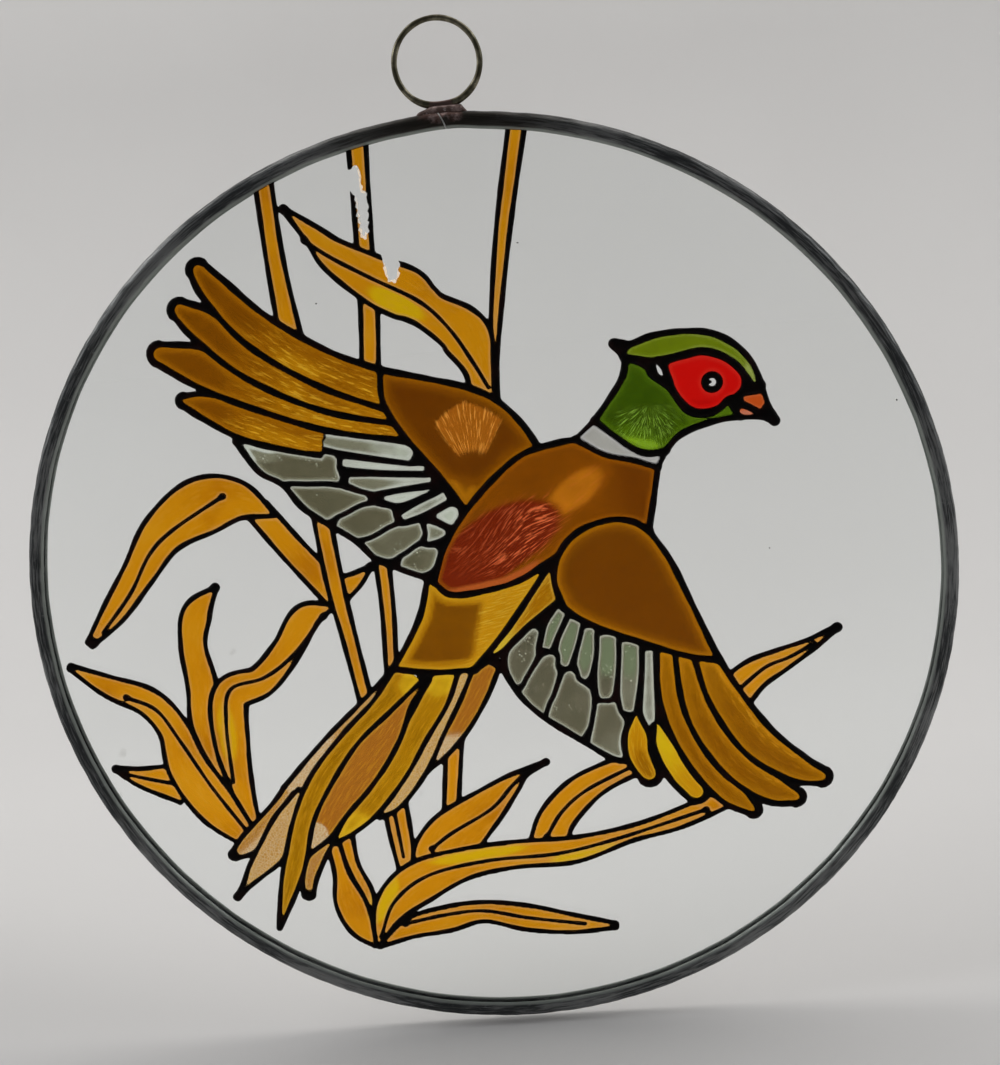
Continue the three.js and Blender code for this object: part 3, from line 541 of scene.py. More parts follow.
patch("near_wing_shoulder", [
    [[16.4, -5], [14.8, 1.6], [16.8, 8], [21.4, 12.2], [28, 14], [33, 13.2], [36.4, 10.8]],
    [[40.4, 4], [44, -5], [49.6, -19.6]],
    [[42, -17.8], [31, -13.4], [21, -8.6], [16.4, -5]],
], [[26, 12], [44, -16]])

# Collar, neck and head
patch("collar", [
    [[22, 32.4], [26.4, 36]],
    [[30.2, 32.5], [34.4, 29.1], [37.6, 27.9], [41.2, 28.2]],
    [[39.2, 24.8]],
    [[33.6, 27], [28, 28.6], [22, 32.4]],
], [[24, 34], [39, 26]], LEAF_LINE)
patch("neck", [
    [[26.4, 36], [29.8, 40.2], [32.6, 44], [33.6, 46.4], [33.9, 48.8]],
    [[36.4, 47.8], [38.4, 46.5], [39.5, 44.4], [42.8, 41.6], [44.7, 38.4], [46.6, 36.2], [49, 35.4],
     [52, 35.7], [54, 37], [56, 38.6]],
    [[57, 36.6], [57.4, 34.2]],
    [[54, 34], [50, 33.3], [46, 32.1], [43.4, 30.6], [41.2, 28.2]],
    [[37.6, 27.9], [34.4, 29.1], [30.2, 32.5], [26.4, 36]],
], [[34, 30], [38, 48]])
patch("crown", [
    [[31.7, 52], [35, 51.6], [40, 53], [46, 53.4], [52, 52.6], [57, 49.8], [60.5, 45.6], [62.3, 40.6]],
    [[60.8, 39.8], [59.2, 42.8], [56.2, 46.4], [51, 48.8], [46.4, 48.6], [42.4, 48], [39.2, 47.8], [36, 48.4],
     [33.6, 49]],
    [[31.7, 52]],
], [[33, 50], [48, 52], [61, 41]])
patch("face", [
    [[42.2, 47.2], [46, 48.1], [50, 48.7], [53.6, 47.7], [56.8, 45.4], [58.6, 42.8], [58.7, 40.2]],
    [[57, 38.6], [55, 38], [53, 36.5], [50.4, 35.9], [47.6, 36.4], [45.3, 38.2], [43.5, 41.2], [42.5, 44.4],
     [42.2, 47.2]],
], [[42, 46], [58, 40]])
web("beak", [
    [[57.4, 38.9], [60, 40.4], [62.4, 40.6]],
    [[63, 37.9], [63.9, 34.8], [64.7, 32.8]],
    [[61.8, 33.6], [57.6, 34.1]],
    [[55.8, 36.6], [57.4, 38.9]],
], [
    [[58.6, 37.9, 0.4], [60.8, 37.3, 2], [62.5, 36.8, 3.2]],
    [[57.4, 35.4, 1.4], [58.8, 35, 1.1], [60.4, 34.6, 0.3]],
], [[57, 36], [65, 34]], LEAF_LINE)

# The cheek, black but for a sliver of bare glass
pipe_line(spline([[39.4, 47.6], [39.8, 46.2], [40.2, 44.6], [41.6, 43.2]]), 1.2)
pipe_line(spline([[40.8, 47.8], [41.3, 46.9], [42.2, 45.4], [43, 43]]), 1.4)

# The nozzle's blobs at the tips, four specks, and the pupil's pinhole with a black tongue across half of it
for x, z, radius in ((-60.3, 6, 0.95), (-25.2, 7.9, 0.9), (75.7, -14, 1.1), (9.4, -40.4, 0.8),
                     (-89, -34.8, 0.9), (21.8, -81.3, 0.9), (-95.6, -10, 0.8), (-48.2, -69, 1.4),
                     (-64.5, -57.9, 1.3), (-65, -68.2, 0.8), (-35.1, 86.2, 0.9), (64.6, 32.7, 1.15),
                     (63.7, 34, 1.3), (63, 35.4, 1.0), (31.7, 52.1, 1.0), (32.6, 51.6, 1.25),
                     (33.6, 51.2, 1.35), (0.1, -16.3, 1.1), (-16.2, -18.8, 0.8), (-89.8, -4.6, 1.25),
                     (-30.5, 66, 0.22), (13.3, 74.8, 0.24), (90.4, 35, 0.24), (62, 5, 0.2)):
    blob(x, z, radius)
PUPIL = (51.9, 42.1)
PUPIL_RADIUS = 2.35
PINHOLE_RADIUS = 0.85
TONGUE_UP = 0.1
TONGUE_HALF = 0.32
from_pupil = np.hypot(GX - PUPIL[0], GZ - PUPIL[1])
ink = melt(ink, from_pupil - PUPIL_RADIUS, 0.3)
tongue = np.minimum(TONGUE_HALF - np.abs(GZ - PUPIL[1] - TONGUE_UP), PUPIL[0] - GX)
chipped = np.maximum(from_pupil - PINHOLE_RADIUS, tongue)

# Where paint has flaked off, with ragged edges
CHIPS = [
    [[-19, 94], [-18.2, 93.2], [-18.1, 90.8], [-18.1, 88.8], [-17.3, 87.8], [-17.2, 84], [-17.8, 80],
     [-18.3, 78.6], [-19.2, 78.5], [-19.5, 80], [-19.7, 86.6], [-20.2, 88.2], [-20.2, 93]],
    [[-22, 92.9], [-19, 92.9], [-19, 88.3], [-22, 88.3]],
    [[-15.3, 76], [-11.7, 76], [-12, 72], [-12.3, 70], [-12.9, 69.1], [-14.7, 69.1], [-15, 70.6],
     [-15.4, 73]],
]
RAGGED = 0.12
ragged = sum(np.sin(GX * a + GZ * b + c) for a, b, c in ((3.1, 2.3, 0.4), (-2.2, 4.1, 1.9), (5.3, -3.7, 4.2)))
flaked = np.full(GX.shape, FAR)
for outline in CHIPS:
    here, near = area_distance(np.array(outline, float))
    flaked[here] = np.minimum(flaked[here], near + RAGGED * ragged[here])
chipped = np.minimum(chipped, flaked)

CAME_FACE = 3.6
CAME_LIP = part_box("lead_came")[1].x / MM - CAME_FACE
UNDER_CAME = 0.6
within = np.hypot(GX, GZ) - (CAME_LIP + UNDER_CAME)
edge = np.maximum(np.maximum(ink, -chipped), within)


def cut_mesh(field, top, bottom, across, up):
    """A closed mesh of where the field is below 0, between a top and a flat bottom, on its grid.
    Also says for each point which place on the grid it takes its finish from."""
    rows, cols = field.shape
    solid = field < 0
    inner = solid.sum()
    number = np.full(field.shape, -1)
    number[solid] = np.arange(inner)
    flat = np.arange(field.size).reshape(field.shape)
    x, z, source = [across[solid]], [up[solid]], [flat[solid]]
    count = inner
    cuts = []
    for down, right in ((0, 1), (1, 0)):
        first = (slice(0, rows - down), slice(0, cols - right))
        second = (slice(down, None), slice(right, None))
        a, b = field[first], field[second]
        cross = (a < 0) != (b < 0)
        share = a[cross] / (a - b)[cross]
        cut = np.full(a.shape, -1)
        cut[cross] = count + np.arange(cross.sum())
        cuts.append(cut)
        count += cross.sum()
        for values, found in ((across, x), (up, z)):
            found.append(values[first][cross] + share * (values[second] - values[first])[cross])
        source.append(np.where(a[cross] < 0, flat[first][cross], flat[second][cross]))
    corners = [number[:-1, :-1], number[:-1, 1:], number[1:, 1:], number[1:, :-1]]
    sides = [cuts[0][:-1], cuts[1][:, 1:], cuts[0][1:], cuts[1][:, :-1]]
    case = sum((corner >= 0) * (1 << k) for k, corner in enumerate(corners))
    blocks = []
    for kind in range(1, 16):
        around = []
        for k in range(4):
            if kind >> k & 1:
                around.append(corners[k])
            if (kind >> k & 1) != (kind >> (k + 1) % 4 & 1):
                around.append(sides[k])
        here = case == kind
        if here.any():
            blocks.append(np.stack([ids[here] for ids in around], 1))
    forward = np.concatenate([top[solid], np.full(count, bottom)])
    under = np.arange(count)
    under[:inner] = count + np.arange(inner)
    polygons = [face for block in blocks for face in block.tolist()]
    polygons += [face[::-1] for block in blocks for face in under[block].tolist()]
    x, z, source = [np.concatenate(found + found[:1]) for found in (x, z, source)]
    return x, z, source, forward, polygons


def film_piece(name, node_slot, *cut):
    """A piece cut from the grid. Also says where its points are and where their finish comes from."""
    x, z, source, forward, polygons = cut_mesh(*cut)
    return add_piece(name, place(x, z, forward), polygons), x, z, source


def soften(values, mask):
    """Evens out heights inside a mask, twice over."""
    for _ in range(2):
        padded = np.pad(values, 1, mode="edge")
        mean = (padded[:-2, 1:-1] + padded[2:, 1:-1] + padded[1:-1, :-2] + padded[1:-1, 2:]) / 4
        values = np.where(mask, 0.5 * values + 0.5 * mean, values)
    return values


def bump(height, distance):
    feed(shader, Normal=put("ShaderNodeBump", Height=height, Distance=distance, Strength=1.0).outputs[0])


# Hair-thin gaps to the glass, so that no two faces share a plane
OUTLINER_GAP = 0.01
STAIN_GAP = 0.02
CRUMB_GAP = 0.03

depth = np.clip(-edge / ROUND_OVER, 0, 1)
bead = LINE_HEIGHT * np.sqrt(1 - (1 - depth) ** 2)
sag = 0.05 * np.sin(GX * 1.7 + 2 * np.sin(GZ * 0.8)) * np.sin(GZ * 1.3 + 1.1)
bead = soften(bead + sag * depth, edge < 0) + GLASS_FACE
outliner, *_ = film_piece("outliner", "black_outliner", edge, bead, GLASS_FACE + OUTLINER_GAP, GX, GZ)
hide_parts("outliner_network", "outliner_above_chip", "pheasant_pupil")

new_material("black outliner", outliner)
coords = object_place()
grain = noise(coords, 900.0, 4.0)
thin_paint = ease(noise(coords, 160.0), 0.45, 0.75)
feed(shader, Base_Color=mix(thin_paint, (0.002, 0.0012, 0.0012), (0.012, 0.0025, 0.002)),
     Roughness=ease(grain, 0.3, 0.7, 0.38, 0.55), Specular_IOR_Level=0.07)
bump(grain, 0.00004)

# White crumbs of the paint's ground still stick along the broken edges, with a faint painted glow to brighten
# them.
CRUMB_IN = 0.2
CRUMB_HALF = 0.24
CRUMB_HIGH = 0.3
crumbs = np.maximum(np.abs(flaked + CRUMB_IN) - CRUMB_HALF + 0.07 * ragged, within)
crumbs = np.maximum(crumbs, np.where(owner > 0, 0.2 - ink, FAR))
top = GLASS_FACE + CRUMB_HIGH + 0.1 * np.sin(GX * 5) * np.sin(GZ * 4.3)
flakes, *_ = film_piece("chip_crumbs", "amber_stain", crumbs, top, GLASS_FACE + CRUMB_GAP, GX, GZ)
new_material("chipped paint ground with painted glow", flakes)
# Painted glow: the crumbs give off a little light of their own so that they stand out bright.
feed(shader, Base_Color=mix(noise(object_place(), 700.0), (0.75, 0.6, 0.5), (1.0, 0.96, 0.9)),
     Roughness=0.7, Transmission_Weight=0.55, Emission_Color=(1.0, 0.9, 0.72, 1), Emission_Strength=0.25)

# ---- The stains: see-through glass paint, flooded into each cell between the lines with a brush.
# It dries glossy, creeps a little way up the lines, and keeps the brush's streaks where it was thick.
STAIN_THICK = 0.2
CREEP = 0.24
CREEP_REACH = 0.5
UNDER_LINE = 0.35
CELL_APART = 0.06


def soft(value, start, end):
    """Smooth step from 0 to 1 while the value goes from start to end."""
    t = np.clip((value - start) / (end - start), 0, 1)
    return t * t * (3 - 2 * t)


def lean_to(x, z, degrees):
    """Coordinates across and along a direction that leans up by so many degrees."""
    c, s = math.cos(math.radians(degrees)), math.sin(math.radians(degrees))
    return z * c - x * s, x * c + z * s


def spot(x, z, middle, size, lean=0.0, fade=0.35):
    """1 inside a leaning ellipse, fading to 0 past its edge."""
    across, out = lean_to(x - middle[0], z - middle[1], lean)
    return soft(np.hypot(out / size[0], across / size[1]), 1 + fade, 1 - fade)


def fan(x, z, apex):
    """Streak coordinates that spread out from a point: round it, and away from it."""
    dx, dz = x - apex[0], z - apex[1]
    return np.arctan2(dx, dz) * 9, np.hypot(dx, dz)


def add_marks(piece, marks):
    """Numbers on a mesh's points, which its material reads by name."""
    for name, values in marks.items():
        attribute = piece.data.attributes.new(name, "FLOAT", "POINT")
        every = np.broadcast_to(values, len(piece.data.vertices))
        attribute.data.foreach_set("value", every.astype(np.float32))


def stain_piece(film, stain_slot, look, material, coarse=1):
    """The stain of every cell that carries a film's name, as one piece with its brush marks."""
    cells = slice(None, None, coarse)
    across, up, line, hole, outside, cell, *others = [values[cells, cells] for values in (
        GX, GZ, ink, chipped, within, owner, along, share_along, aside)]
    numbers = [i for i, name in enumerate(film_of) if name == film]
    field = np.maximum(np.maximum(-(line + UNDER_LINE), -hole), outside)
    field = np.where(np.isin(cell, numbers), field, np.maximum(field, CELL_APART))
    ripple = 0.03 * np.sin(across * 0.9 + 2 * np.sin(up * 0.5)) * np.sin(up * 0.7 + across * 0.3)
    top = GLASS_FACE + STAIN_THICK + CREEP * np.exp(-np.maximum(line, 0) / CREEP_REACH) + ripple
    cut = (field, top, GLASS_FACE + STAIN_GAP, across, up)
    piece, x, z, source = film_piece(film + "_glaze", stain_slot, *cut)
    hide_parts(film + "_stain")
    at = SimpleNamespace(**{name: values.ravel()[source] for name, values in
                            zip(("rim", "cell", "along", "share", "aside"), (line, cell, *others))})
    at.cell -= numbers[0]
    marks = {"tone": 0.5, "streak": 0.0, "tint": 0.0, "pale": 0.0, "streak_across": at.aside,
             "streak_along": at.along, "rim": np.maximum(at.rim, 0)}
    add_marks(piece, {**marks, **look(x, z, at)})
    piece.data.materials.append(material)


def marked(name):
    return put("ShaderNodeAttribute", {"attribute_name": name}).outputs["Fac"]


def pair(x, y):
    return put("ShaderNodeCombineXYZ", X=x, Y=y).outputs[0]


def glaze(name, deep, body, light, streak=None, tint=None, pale=None, rim=None, rim_width=0.6,
          rim_share=0.6, mottle=0.5, bubbles=0.0, crazed=0.0, fine=2.4, through=0.97):
    """See-through stain. Tone runs from deep to light, and streaks, tint and rim are laid over it."""
    material = new_material(name)
    coords = object_place()
    cloud = noise(coords, 130.0, 4.0)
    tone = plus(marked("tone"), times(calc("SUBTRACT", cloud, 0.5), mottle))
    colour = mix(ease(tone, 0.0, 0.5), deep, body)
    colour = mix(ease(tone, 0.5, 1.0), colour, light)
    if tint:
        patchy = plus(marked("tint"), times(cloud, 0.3))
        colour = mix(ease(patchy, 0.35, 0.95), colour, tint)
    hairs = pair(times(marked("streak_across"), fine), times(marked("streak_along"), 0.22))
    scratch = times(ease(noise(hairs, 1.0, 3.0, 0.6), 0.5, 0.64), marked("streak"))
    if streak:
        colour = mix(scratch, colour, streak)
    if rim:
        edge_of = plus(marked("rim"), times(cloud, 0.5))
        colour = mix(ease(edge_of, rim_width + 0.25, 0.3, 0.0, rim_share), colour, rim)
    if pale:
        colour = mix(ease(marked("pale"), 0.2, 0.8), colour, pale)
    relief = plus(times(scratch, 0.9), times(cloud, 0.6))
    if crazed:
        crackle = put("ShaderNodeTexVoronoi", {"feature": "DISTANCE_TO_EDGE"}, Vector=coords, Scale=1500.0)
        crackle = times(ease(crackle.outputs[0], 0.16, 0.02), marked("pale"))
        relief = plus(relief, crackle)
        colour = mix(times(crackle, crazed), colour, (1.0, 0.93, 0.72))
    if bubbles:
        # Bubbles in the stain: a real bump, and a painted highlight where the colour goes to the stain's
        # lightest on each one.
        bubbles_and_glints = put("ShaderNodeTexVoronoi", Vector=coords, Scale=1250.0, Randomness=1.0).outputs["Distance"]
        bubbles_and_glints = times(ease(bubbles_and_glints, 0.36, 0.16), ease(noise(coords, 330.0, 2.0), 0.54, 0.66, 0.0, bubbles))
        relief = plus(relief, bubbles_and_glints)
        colour = mix(times(bubbles_and_glints, 0.6), colour, light)
    feed(shader, Base_Color=colour, Roughness=ease(cloud, 0.3, 0.8, 0.08, 0.22), Transmission_Weight=through,
         Specular_IOR_Level=0.15, IOR=1.15)
    bump(relief, 0.00005)
    return material


def reed_look(x, z, at):
    """Amber, more yellow where the brush left it thin, and pale close to some lines."""
    below = soft(0.63 * x + z, 59.5, 57.5)
    worn = spot(x, z, (-13.5, 64.5), (6.5, 2.6), -32, 0.5) * below
    worn += spot(x, z, (-31, -71), (3.0, 6.5), -28) + spot(x, z, (17, -63.2), (9, 2.0), 8)
    worn += 0.8 * spot(x, z, (-8, -61.6), (12, 1.7), 6) + 0.6 * spot(x, z, (-62, -28), (2.4, 8), 0)
    drift = 0.14 * np.sin(x * 0.23 + 1.3 * np.sin(z * 0.17)) + 0.1 * np.sin(z * 0.31 + 2)
    return dict(tone=0.45 + drift, tint=np.clip(worn, 0, 1), streak=0.25)


amber = glaze("amber stain", (0.72, 0.25, 0.003), (0.93, 0.385, 0.005), (1.0, 0.47, 0.015),
              streak=(1.0, 0.5, 0.05), tint=(1.0, 0.62, 0.006), rim=(1.0, 0.52, 0.16), rim_width=0.6,
              rim_share=0.5, mottle=0.7, fine=1.2)
for film, coarse in (("left_stalk", 2), ("upper_reeds", 1), ("left_reeds", 2), ("middle_stalk", 1),
                     ("right_reed", 2), ("lower_reeds", 2)):
    stain_piece(film, "amber_stain", reed_look, amber, coarse)

# ---- The far wing: brown long feathers that go golden at the root, grey ones under them, and a dark
# shoulder with a fan of orange brush marks.


def far_primary_look(x, z, at):
    root = soft(at.share, 0.8, 0.42)
    low_side = soft(at.aside, -2.4, 1.6)
    core = soft(at.rim, 0.3, 1.6)
    heart = spot(x, z, (-28, 46.4), (8, 2.4), -24) + spot(x, z, (-38, 41), (5, 2), -20)
    return dict(tone=0.42 - 0.34 * core * (1 - root) + 0.34 * root * low_side - 0.45 * heart * core,
                streak=root * (0.35 + 0.65 * low_side) * (1 - 0.85 * np.clip(heart, 0, 1)))


stain_piece("far_wing_primary", "feather_brown_stain", far_primary_look, glaze(
    "feather brown stain", (0.33, 0.1, 0.001), (0.5, 0.175, 0.002), (0.9, 0.4, 0.006),
    streak=(1.0, 0.56, 0.03), rim=(0.62, 0.23, 0.004), rim_width=0.9, rim_share=0.5, fine=1.8), coarse=2)


def far_shoulder_look(x, z, at):
    across, out = fan(x, z, (-0.6, 25))
    spread = soft(np.abs(np.arctan2(x + 0.6, z - 25)), 0.56, 0.46)
    crown = spread * soft(out, 5, 8) * soft(out + 0.35 * np.abs(x + 1.2), 18.2, 17)
    tip = spot(x, z, (-4, 22), (4, 4.5))
    core = soft(at.rim, 0.5, 3.0)
    return dict(tone=0.45 - 0.36 * core + 0.45 * tip, tint=crown * 0.85, streak=crown,
                streak_across=across * 1.6, streak_along=out)


stain_piece("far_wing_shoulder", "shoulder_brown_stain", far_shoulder_look, glaze(
    "far shoulder stain", (0.225, 0.058, 0.001), (0.34, 0.1, 0.001), (0.7, 0.27, 0.006),
    streak=(1.0, 0.42, 0.06), tint=(0.6, 0.18, 0.01), rim=(0.5, 0.175, 0.003), rim_width=1.3, rim_share=0.7,
    mottle=0.3), coarse=2)


FAR_GREYS = (0, 0, 0, 0, 0.12, 0.08, 0.5, 0.95, 0.3, 1, 0.66, 1, 0.45)


def grey_look(x, z, at):
    """Grey in the middle of each broad feather, and nearly clear in the narrow ones."""
    number = np.clip(at.cell, 0, len(FAR_GREYS) - 1)
    bare = np.array(FAR_GREYS)[number] + (number == 8) * soft(x, -22, -15) * 0.5
    bare += (number == 6) * soft(x, -25, -18) * 0.3
    core = soft(at.rim, 0.1, 1.1)
    upper = (number == 1) * spot(x, z, (-47, 35), (4.5, 1.6), -18)
    return dict(tone=0.66 - 0.6 * core * (1 - bare) + 0.3 * bare + 0.4 * upper, tint=bare * core * 0.5)


stain_piece("far_wing_grey", "grey_stain", grey_look, glaze(
    "grey stain", (0.185, 0.17, 0.1), (0.34, 0.335, 0.23), (0.9, 0.96, 0.86), tint=(0.7, 0.78, 0.6),
    rim=(0.8, 0.82, 0.74), rim_width=0.5, mottle=0.45, bubbles=0.9))

# ---- The tail: long feathers in old gold and copper, some nearly bare where the stain has crazed.
# They are listed as they are drawn, each with its kind and how light it is.
TAIL_FEATHERS = (("tan", 0.5), ("copper", 0.2), ("cream", 0.6), ("gold", 0.4), ("mauve", 0.4), ("tan", 0.4),
                 ("cream", 0.55), ("copper", 0.3), ("gold", 0.3))


def tail_look(x, z, at):
    number = np.clip(at.cell, 0, len(TAIL_FEATHERS) - 1)
    tone = np.array([shade for _, shade in TAIL_FEATHERS])[number]
    copper = np.array([{"copper": 1.0, "tan": 0.55, "mauve": 0.62}.get(kind, 0.0)
                       for kind, _ in TAIL_FEATHERS])[number]
    bare = np.array([{"cream": 0.52, "tan": 0.28, "mauve": 0.42}.get(kind, 0.0)
                     for kind, _ in TAIL_FEATHERS])[number]
    yellow = spot(x, z, (-12, -20), (4.5, 2.6), 45) + spot(x, z, (-36.6, -53), (5.5, 2.6), 40)
    yellow += spot(x, z, (-19, -19), (4, 2.4), 40)
    worn = (number == 7) * spot(x, z, (-44.4, -54.6), (2.6, 3.4), 0, 0.12) + (number == 1) * soft(z, -31, -34)
    worn += (number == 4) * soft(x, -37, -41) + (number == 5) * soft(at.aside, -0.6, 1.6) * 0.6
    core = soft(at.rim, 0.2, 1.2)
    return dict(tone=np.clip(tone + 0.12 - 0.2 * core + 0.5 * yellow, 0, 1), tint=copper * (1 - 0.5 * yellow),
                pale=np.clip(bare + worn, 0, 1), streak=0.3)


stain_piece("tail", "old_gold_stain", tail_look, glaze(
    "old gold stain", (0.46, 0.2, 0.002), (0.68, 0.32, 0.004), (1.0, 0.62, 0.015), streak=(0.95, 0.5, 0.02),
    tint=(0.6, 0.215, 0.02), pale=(0.86, 0.5, 0.19), rim=(0.95, 0.52, 0.06), rim_share=0.4, bubbles=0.3,
    crazed=0.8))

# ---- The body: a gold rump with a dark block, a yellow flank stripe, and an olive-brown breast with a
# russet heart full of fine red brush marks.


def rump_look(x, z, at):
    side = np.maximum(np.abs(x + 10.6 - 0.25 * (z + 8)) - 7.2, np.abs(z + 6.6) - 8.4)
    block = soft(side, 1.2, -0.6) * soft(at.rim, 1.1, 2.1)
    gold = soft(x - 0.3 * z, -5, 1)
    across, out = lean_to(x, z, 12)
    return dict(tone=0.72 - 0.66 * block + 0.12 * gold, streak=gold * 0.85 * (1 - block),
                streak_across=across, streak_along=out)


stain_piece("rump", "gold_stain", rump_look, glaze(
    "rump gold stain", (0.32, 0.105, 0.001), (0.6, 0.25, 0.003), (0.95, 0.46, 0.01), streak=(1.0, 0.62, 0.05),
    rim=(0.95, 0.5, 0.02), rim_width=1.1, rim_share=0.7, mottle=0.25, fine=2.8), coarse=2)


def flank_look(x, z, at):
    return dict(tone=0.98 - 0.7 * soft(x, 1, 10), streak=0.4)


stain_piece("flank", "gold_stain", flank_look, glaze(
    "flank gold stain", (0.5, 0.19, 0.002), (0.7, 0.3, 0.005), (1.0, 0.76, 0.05), streak=(1.0, 0.7, 0.05),
    rim=(1.0, 0.6, 0.06), mottle=0.3), coarse=2)


def breast_look(x, z, at):
    heart = spot(x, z, (4.6, 12), (13.5, 6.6), 22, 0.28)
    glow = spot(x, z, (21, 21), (8.5, 3.6), 34, 0.35)
    across, out = lean_to(x, z, 36)
    bend = 0.5 * np.sin(out * 0.3) + 0.16 * (out - 12) * np.sin(across * 0.5)
    # Painted highlight: the heart's brush marks are drawn brighter towards the right, where they catch the
    # light; the marks themselves are real.
    lit = 0.35 + 0.65 * soft(x - 0.6 * z, -8, 2)
    low_rim = soft(at.rim, 2.4, 0.3) * soft(z - 0.45 * x, 8, 2) * soft(x, 16, 8)
    lower = 0.8 * spot(x, z, (-3, 5), (10, 6.5), 28, 0.5)
    dark = soft(x, 22, 36)
    return dict(tone=0.35 + 0.5 * glow - 0.25 * dark, tint=np.clip(heart + lower, 0, 1), pale=0.95 * low_rim,
                streak=np.clip(heart * lit + glow * 0.2, 0, 1), streak_across=across + bend, streak_along=out)


stain_piece("breast", "russet_stain", breast_look, glaze(
    "russet stain", (0.25, 0.062, 0.001), (0.38, 0.105, 0.001), (0.85, 0.28, 0.01), streak=(1.0, 0.22, 0.07),
    tint=(0.28, 0.026, 0.004), rim=(0.55, 0.17, 0.004), pale=(0.72, 0.16, 0.03), rim_width=1.2,
    rim_share=0.55, mottle=0.3, fine=3.0), coarse=2)

# ---- The near wing: a dark smooth shoulder with a golden edge, brown long feathers, two small gold ones
# and grey ones that fade to sage at the top.


def near_shoulder_look(x, z, at):
    core = soft(at.rim, 0.3, 3.0)
    glow = soft(x + z, 20, 8) * soft(at.rim, 4, 0.5)
    return dict(tone=0.42 - 0.36 * core + 0.3 * glow)


stain_piece("near_wing_shoulder", "shoulder_brown_stain", near_shoulder_look, glaze(
    "near shoulder stain", (0.265, 0.074, 0.001), (0.4, 0.13, 0.001), (0.8, 0.34, 0.006),
    rim=(0.7, 0.27, 0.005), rim_width=1.2, mottle=0.2), coarse=2)


def near_primary_look(x, z, at):
    upper = soft(at.aside, 0.2, 2.2)
    core = soft(at.rim, 0.3, 1.8)
    root = soft(at.share, 0.45, 0.05)
    return dict(tone=0.42 - 0.24 * core + 0.3 * upper + 0.3 * root, streak=0.1 + 0.55 * upper)


stain_piece("near_wing_primary", "feather_brown_stain", near_primary_look, glaze(
    "near feather brown stain", (0.37, 0.125, 0.001), (0.52, 0.2, 0.002), (0.85, 0.36, 0.008),
    streak=(0.9, 0.42, 0.02), rim=(0.72, 0.3, 0.008), rim_width=0.8, rim_share=0.5, mottle=0.4,
    fine=1.4), coarse=2)


def near_gold_look(x, z, at):
    second = at.cell > 0
    core = soft(at.rim, 0.2, 1.5)
    return dict(tone=0.62 + 0.3 * second - 0.3 * soft(at.share, 0.2, 0.9) - 0.25 * core * (1 - second),
                streak=0.3)


stain_piece("near_wing_gold", "gold_stain", near_gold_look, glaze(
    "gold stain", (0.5, 0.19, 0.002), (0.82, 0.37, 0.004), (1.0, 0.7, 0.01), streak=(1.0, 0.66, 0.04),
    rim=(1.0, 0.58, 0.03), rim_share=0.5))


def near_grey_look(x, z, at):
    upper_row = at.cell > 4
    sage = upper_row * soft(z + 0.25 * x, -19, -11)
    core = soft(at.rim, 0.1, 1.0)
    right = 0.75 * (at.cell == 10) + 0.3 * (at.cell == 9) * soft(z, -16, -24)
    low = 0.2 * (at.cell == 4) * soft(z, -31, -39)
    return dict(tone=0.64 - 0.58 * core * (1 - right) + 0.25 * right + low,
                tint=sage * core * (1 - 0.7 * right))


stain_piece("near_wing_grey", "grey_stain", near_grey_look, glaze(
    "near grey stain", (0.19, 0.175, 0.11), (0.33, 0.32, 0.23), (0.88, 0.92, 0.82), tint=(0.27, 0.33, 0.19),
    rim=(0.75, 0.77, 0.66), rim_width=0.5, mottle=0.45, bubbles=0.9))

# ---- The head: a frosted white collar, a green neck with a fan of light brush marks, a lime crown, a
# red face and an orange beak.


def collar_look(x, z, at):
    return dict(tone=0.4 + 0.4 * soft(at.rim, 1.0, 0.2))


stain_piece("collar", "frosted_white_stain", collar_look, glaze(
    "frosted white stain", (0.66, 0.65, 0.6), (0.84, 0.83, 0.78), (0.97, 0.96, 0.94), rim=(0.97, 0.96, 0.96),
    rim_width=0.5, through=0.72))


def neck_look(x, z, at):
    low = 0.75 * soft(at.rim, 3.4, 0.8) * soft(z - 0.2 * x, 26.5, 23) * soft(x, 42, 38)
    light = np.clip(low + 0.4 * spot(x, z, (35.5, 31.4), (4.5, 2.4), -25) + 0.3 * soft(x, 45.5, 47), 0, 1)
    across, out = fan(x, z, (38.4, 39))
    return dict(tone=0.16 + 0.8 * light + 0.16 * soft(at.rim, 1.4, 0.3),
                streak=spot(x, z, (37.4, 34.6), (6, 5.6)) * soft(z, 39, 37), streak_across=across * 1.6,
                streak_along=out * 1.6)


stain_piece("neck", "green_stain", neck_look, glaze(
    "green stain", (0.05, 0.105, 0.002), (0.115, 0.23, 0.004), (0.33, 0.58, 0.018), streak=(0.34, 0.56, 0.07),
    rim=(0.13, 0.22, 0.012), rim_width=0.8, rim_share=0.4, mottle=0.3))


def crown_look(x, z, at):
    pale = spot(x, z, (60.8, 42.4), (2.4, 3.4)) + 0.35 * soft(at.rim, 1.0, 0.2)
    return dict(tone=0.35 + 0.5 * pale + 0.12 * soft(x, 44, 52))


stain_piece("crown", "lime_stain", crown_look, glaze(
    "lime stain", (0.13, 0.19, 0.002), (0.24, 0.33, 0.008), (0.5, 0.6, 0.16), rim=(0.36, 0.45, 0.05),
    rim_share=0.5, mottle=0.4))


def face_look(x, z, at):
    return dict(tone=0.5 + 0.25 * soft(at.rim, 1.2, 0.3) - 0.2 * soft(z, 40, 37))


stain_piece("face", "red_stain", face_look, glaze(
    "red stain", (0.55, 0.004, 0.003), (0.95, 0.008, 0.005), (1.0, 0.035, 0.02), rim=(1.0, 0.03, 0.02),
    rim_share=0.4, mottle=0.3))


def beak_look(x, z, at):
    return dict(tone=0.35 + 0.6 * soft(z, 36.2, 35))


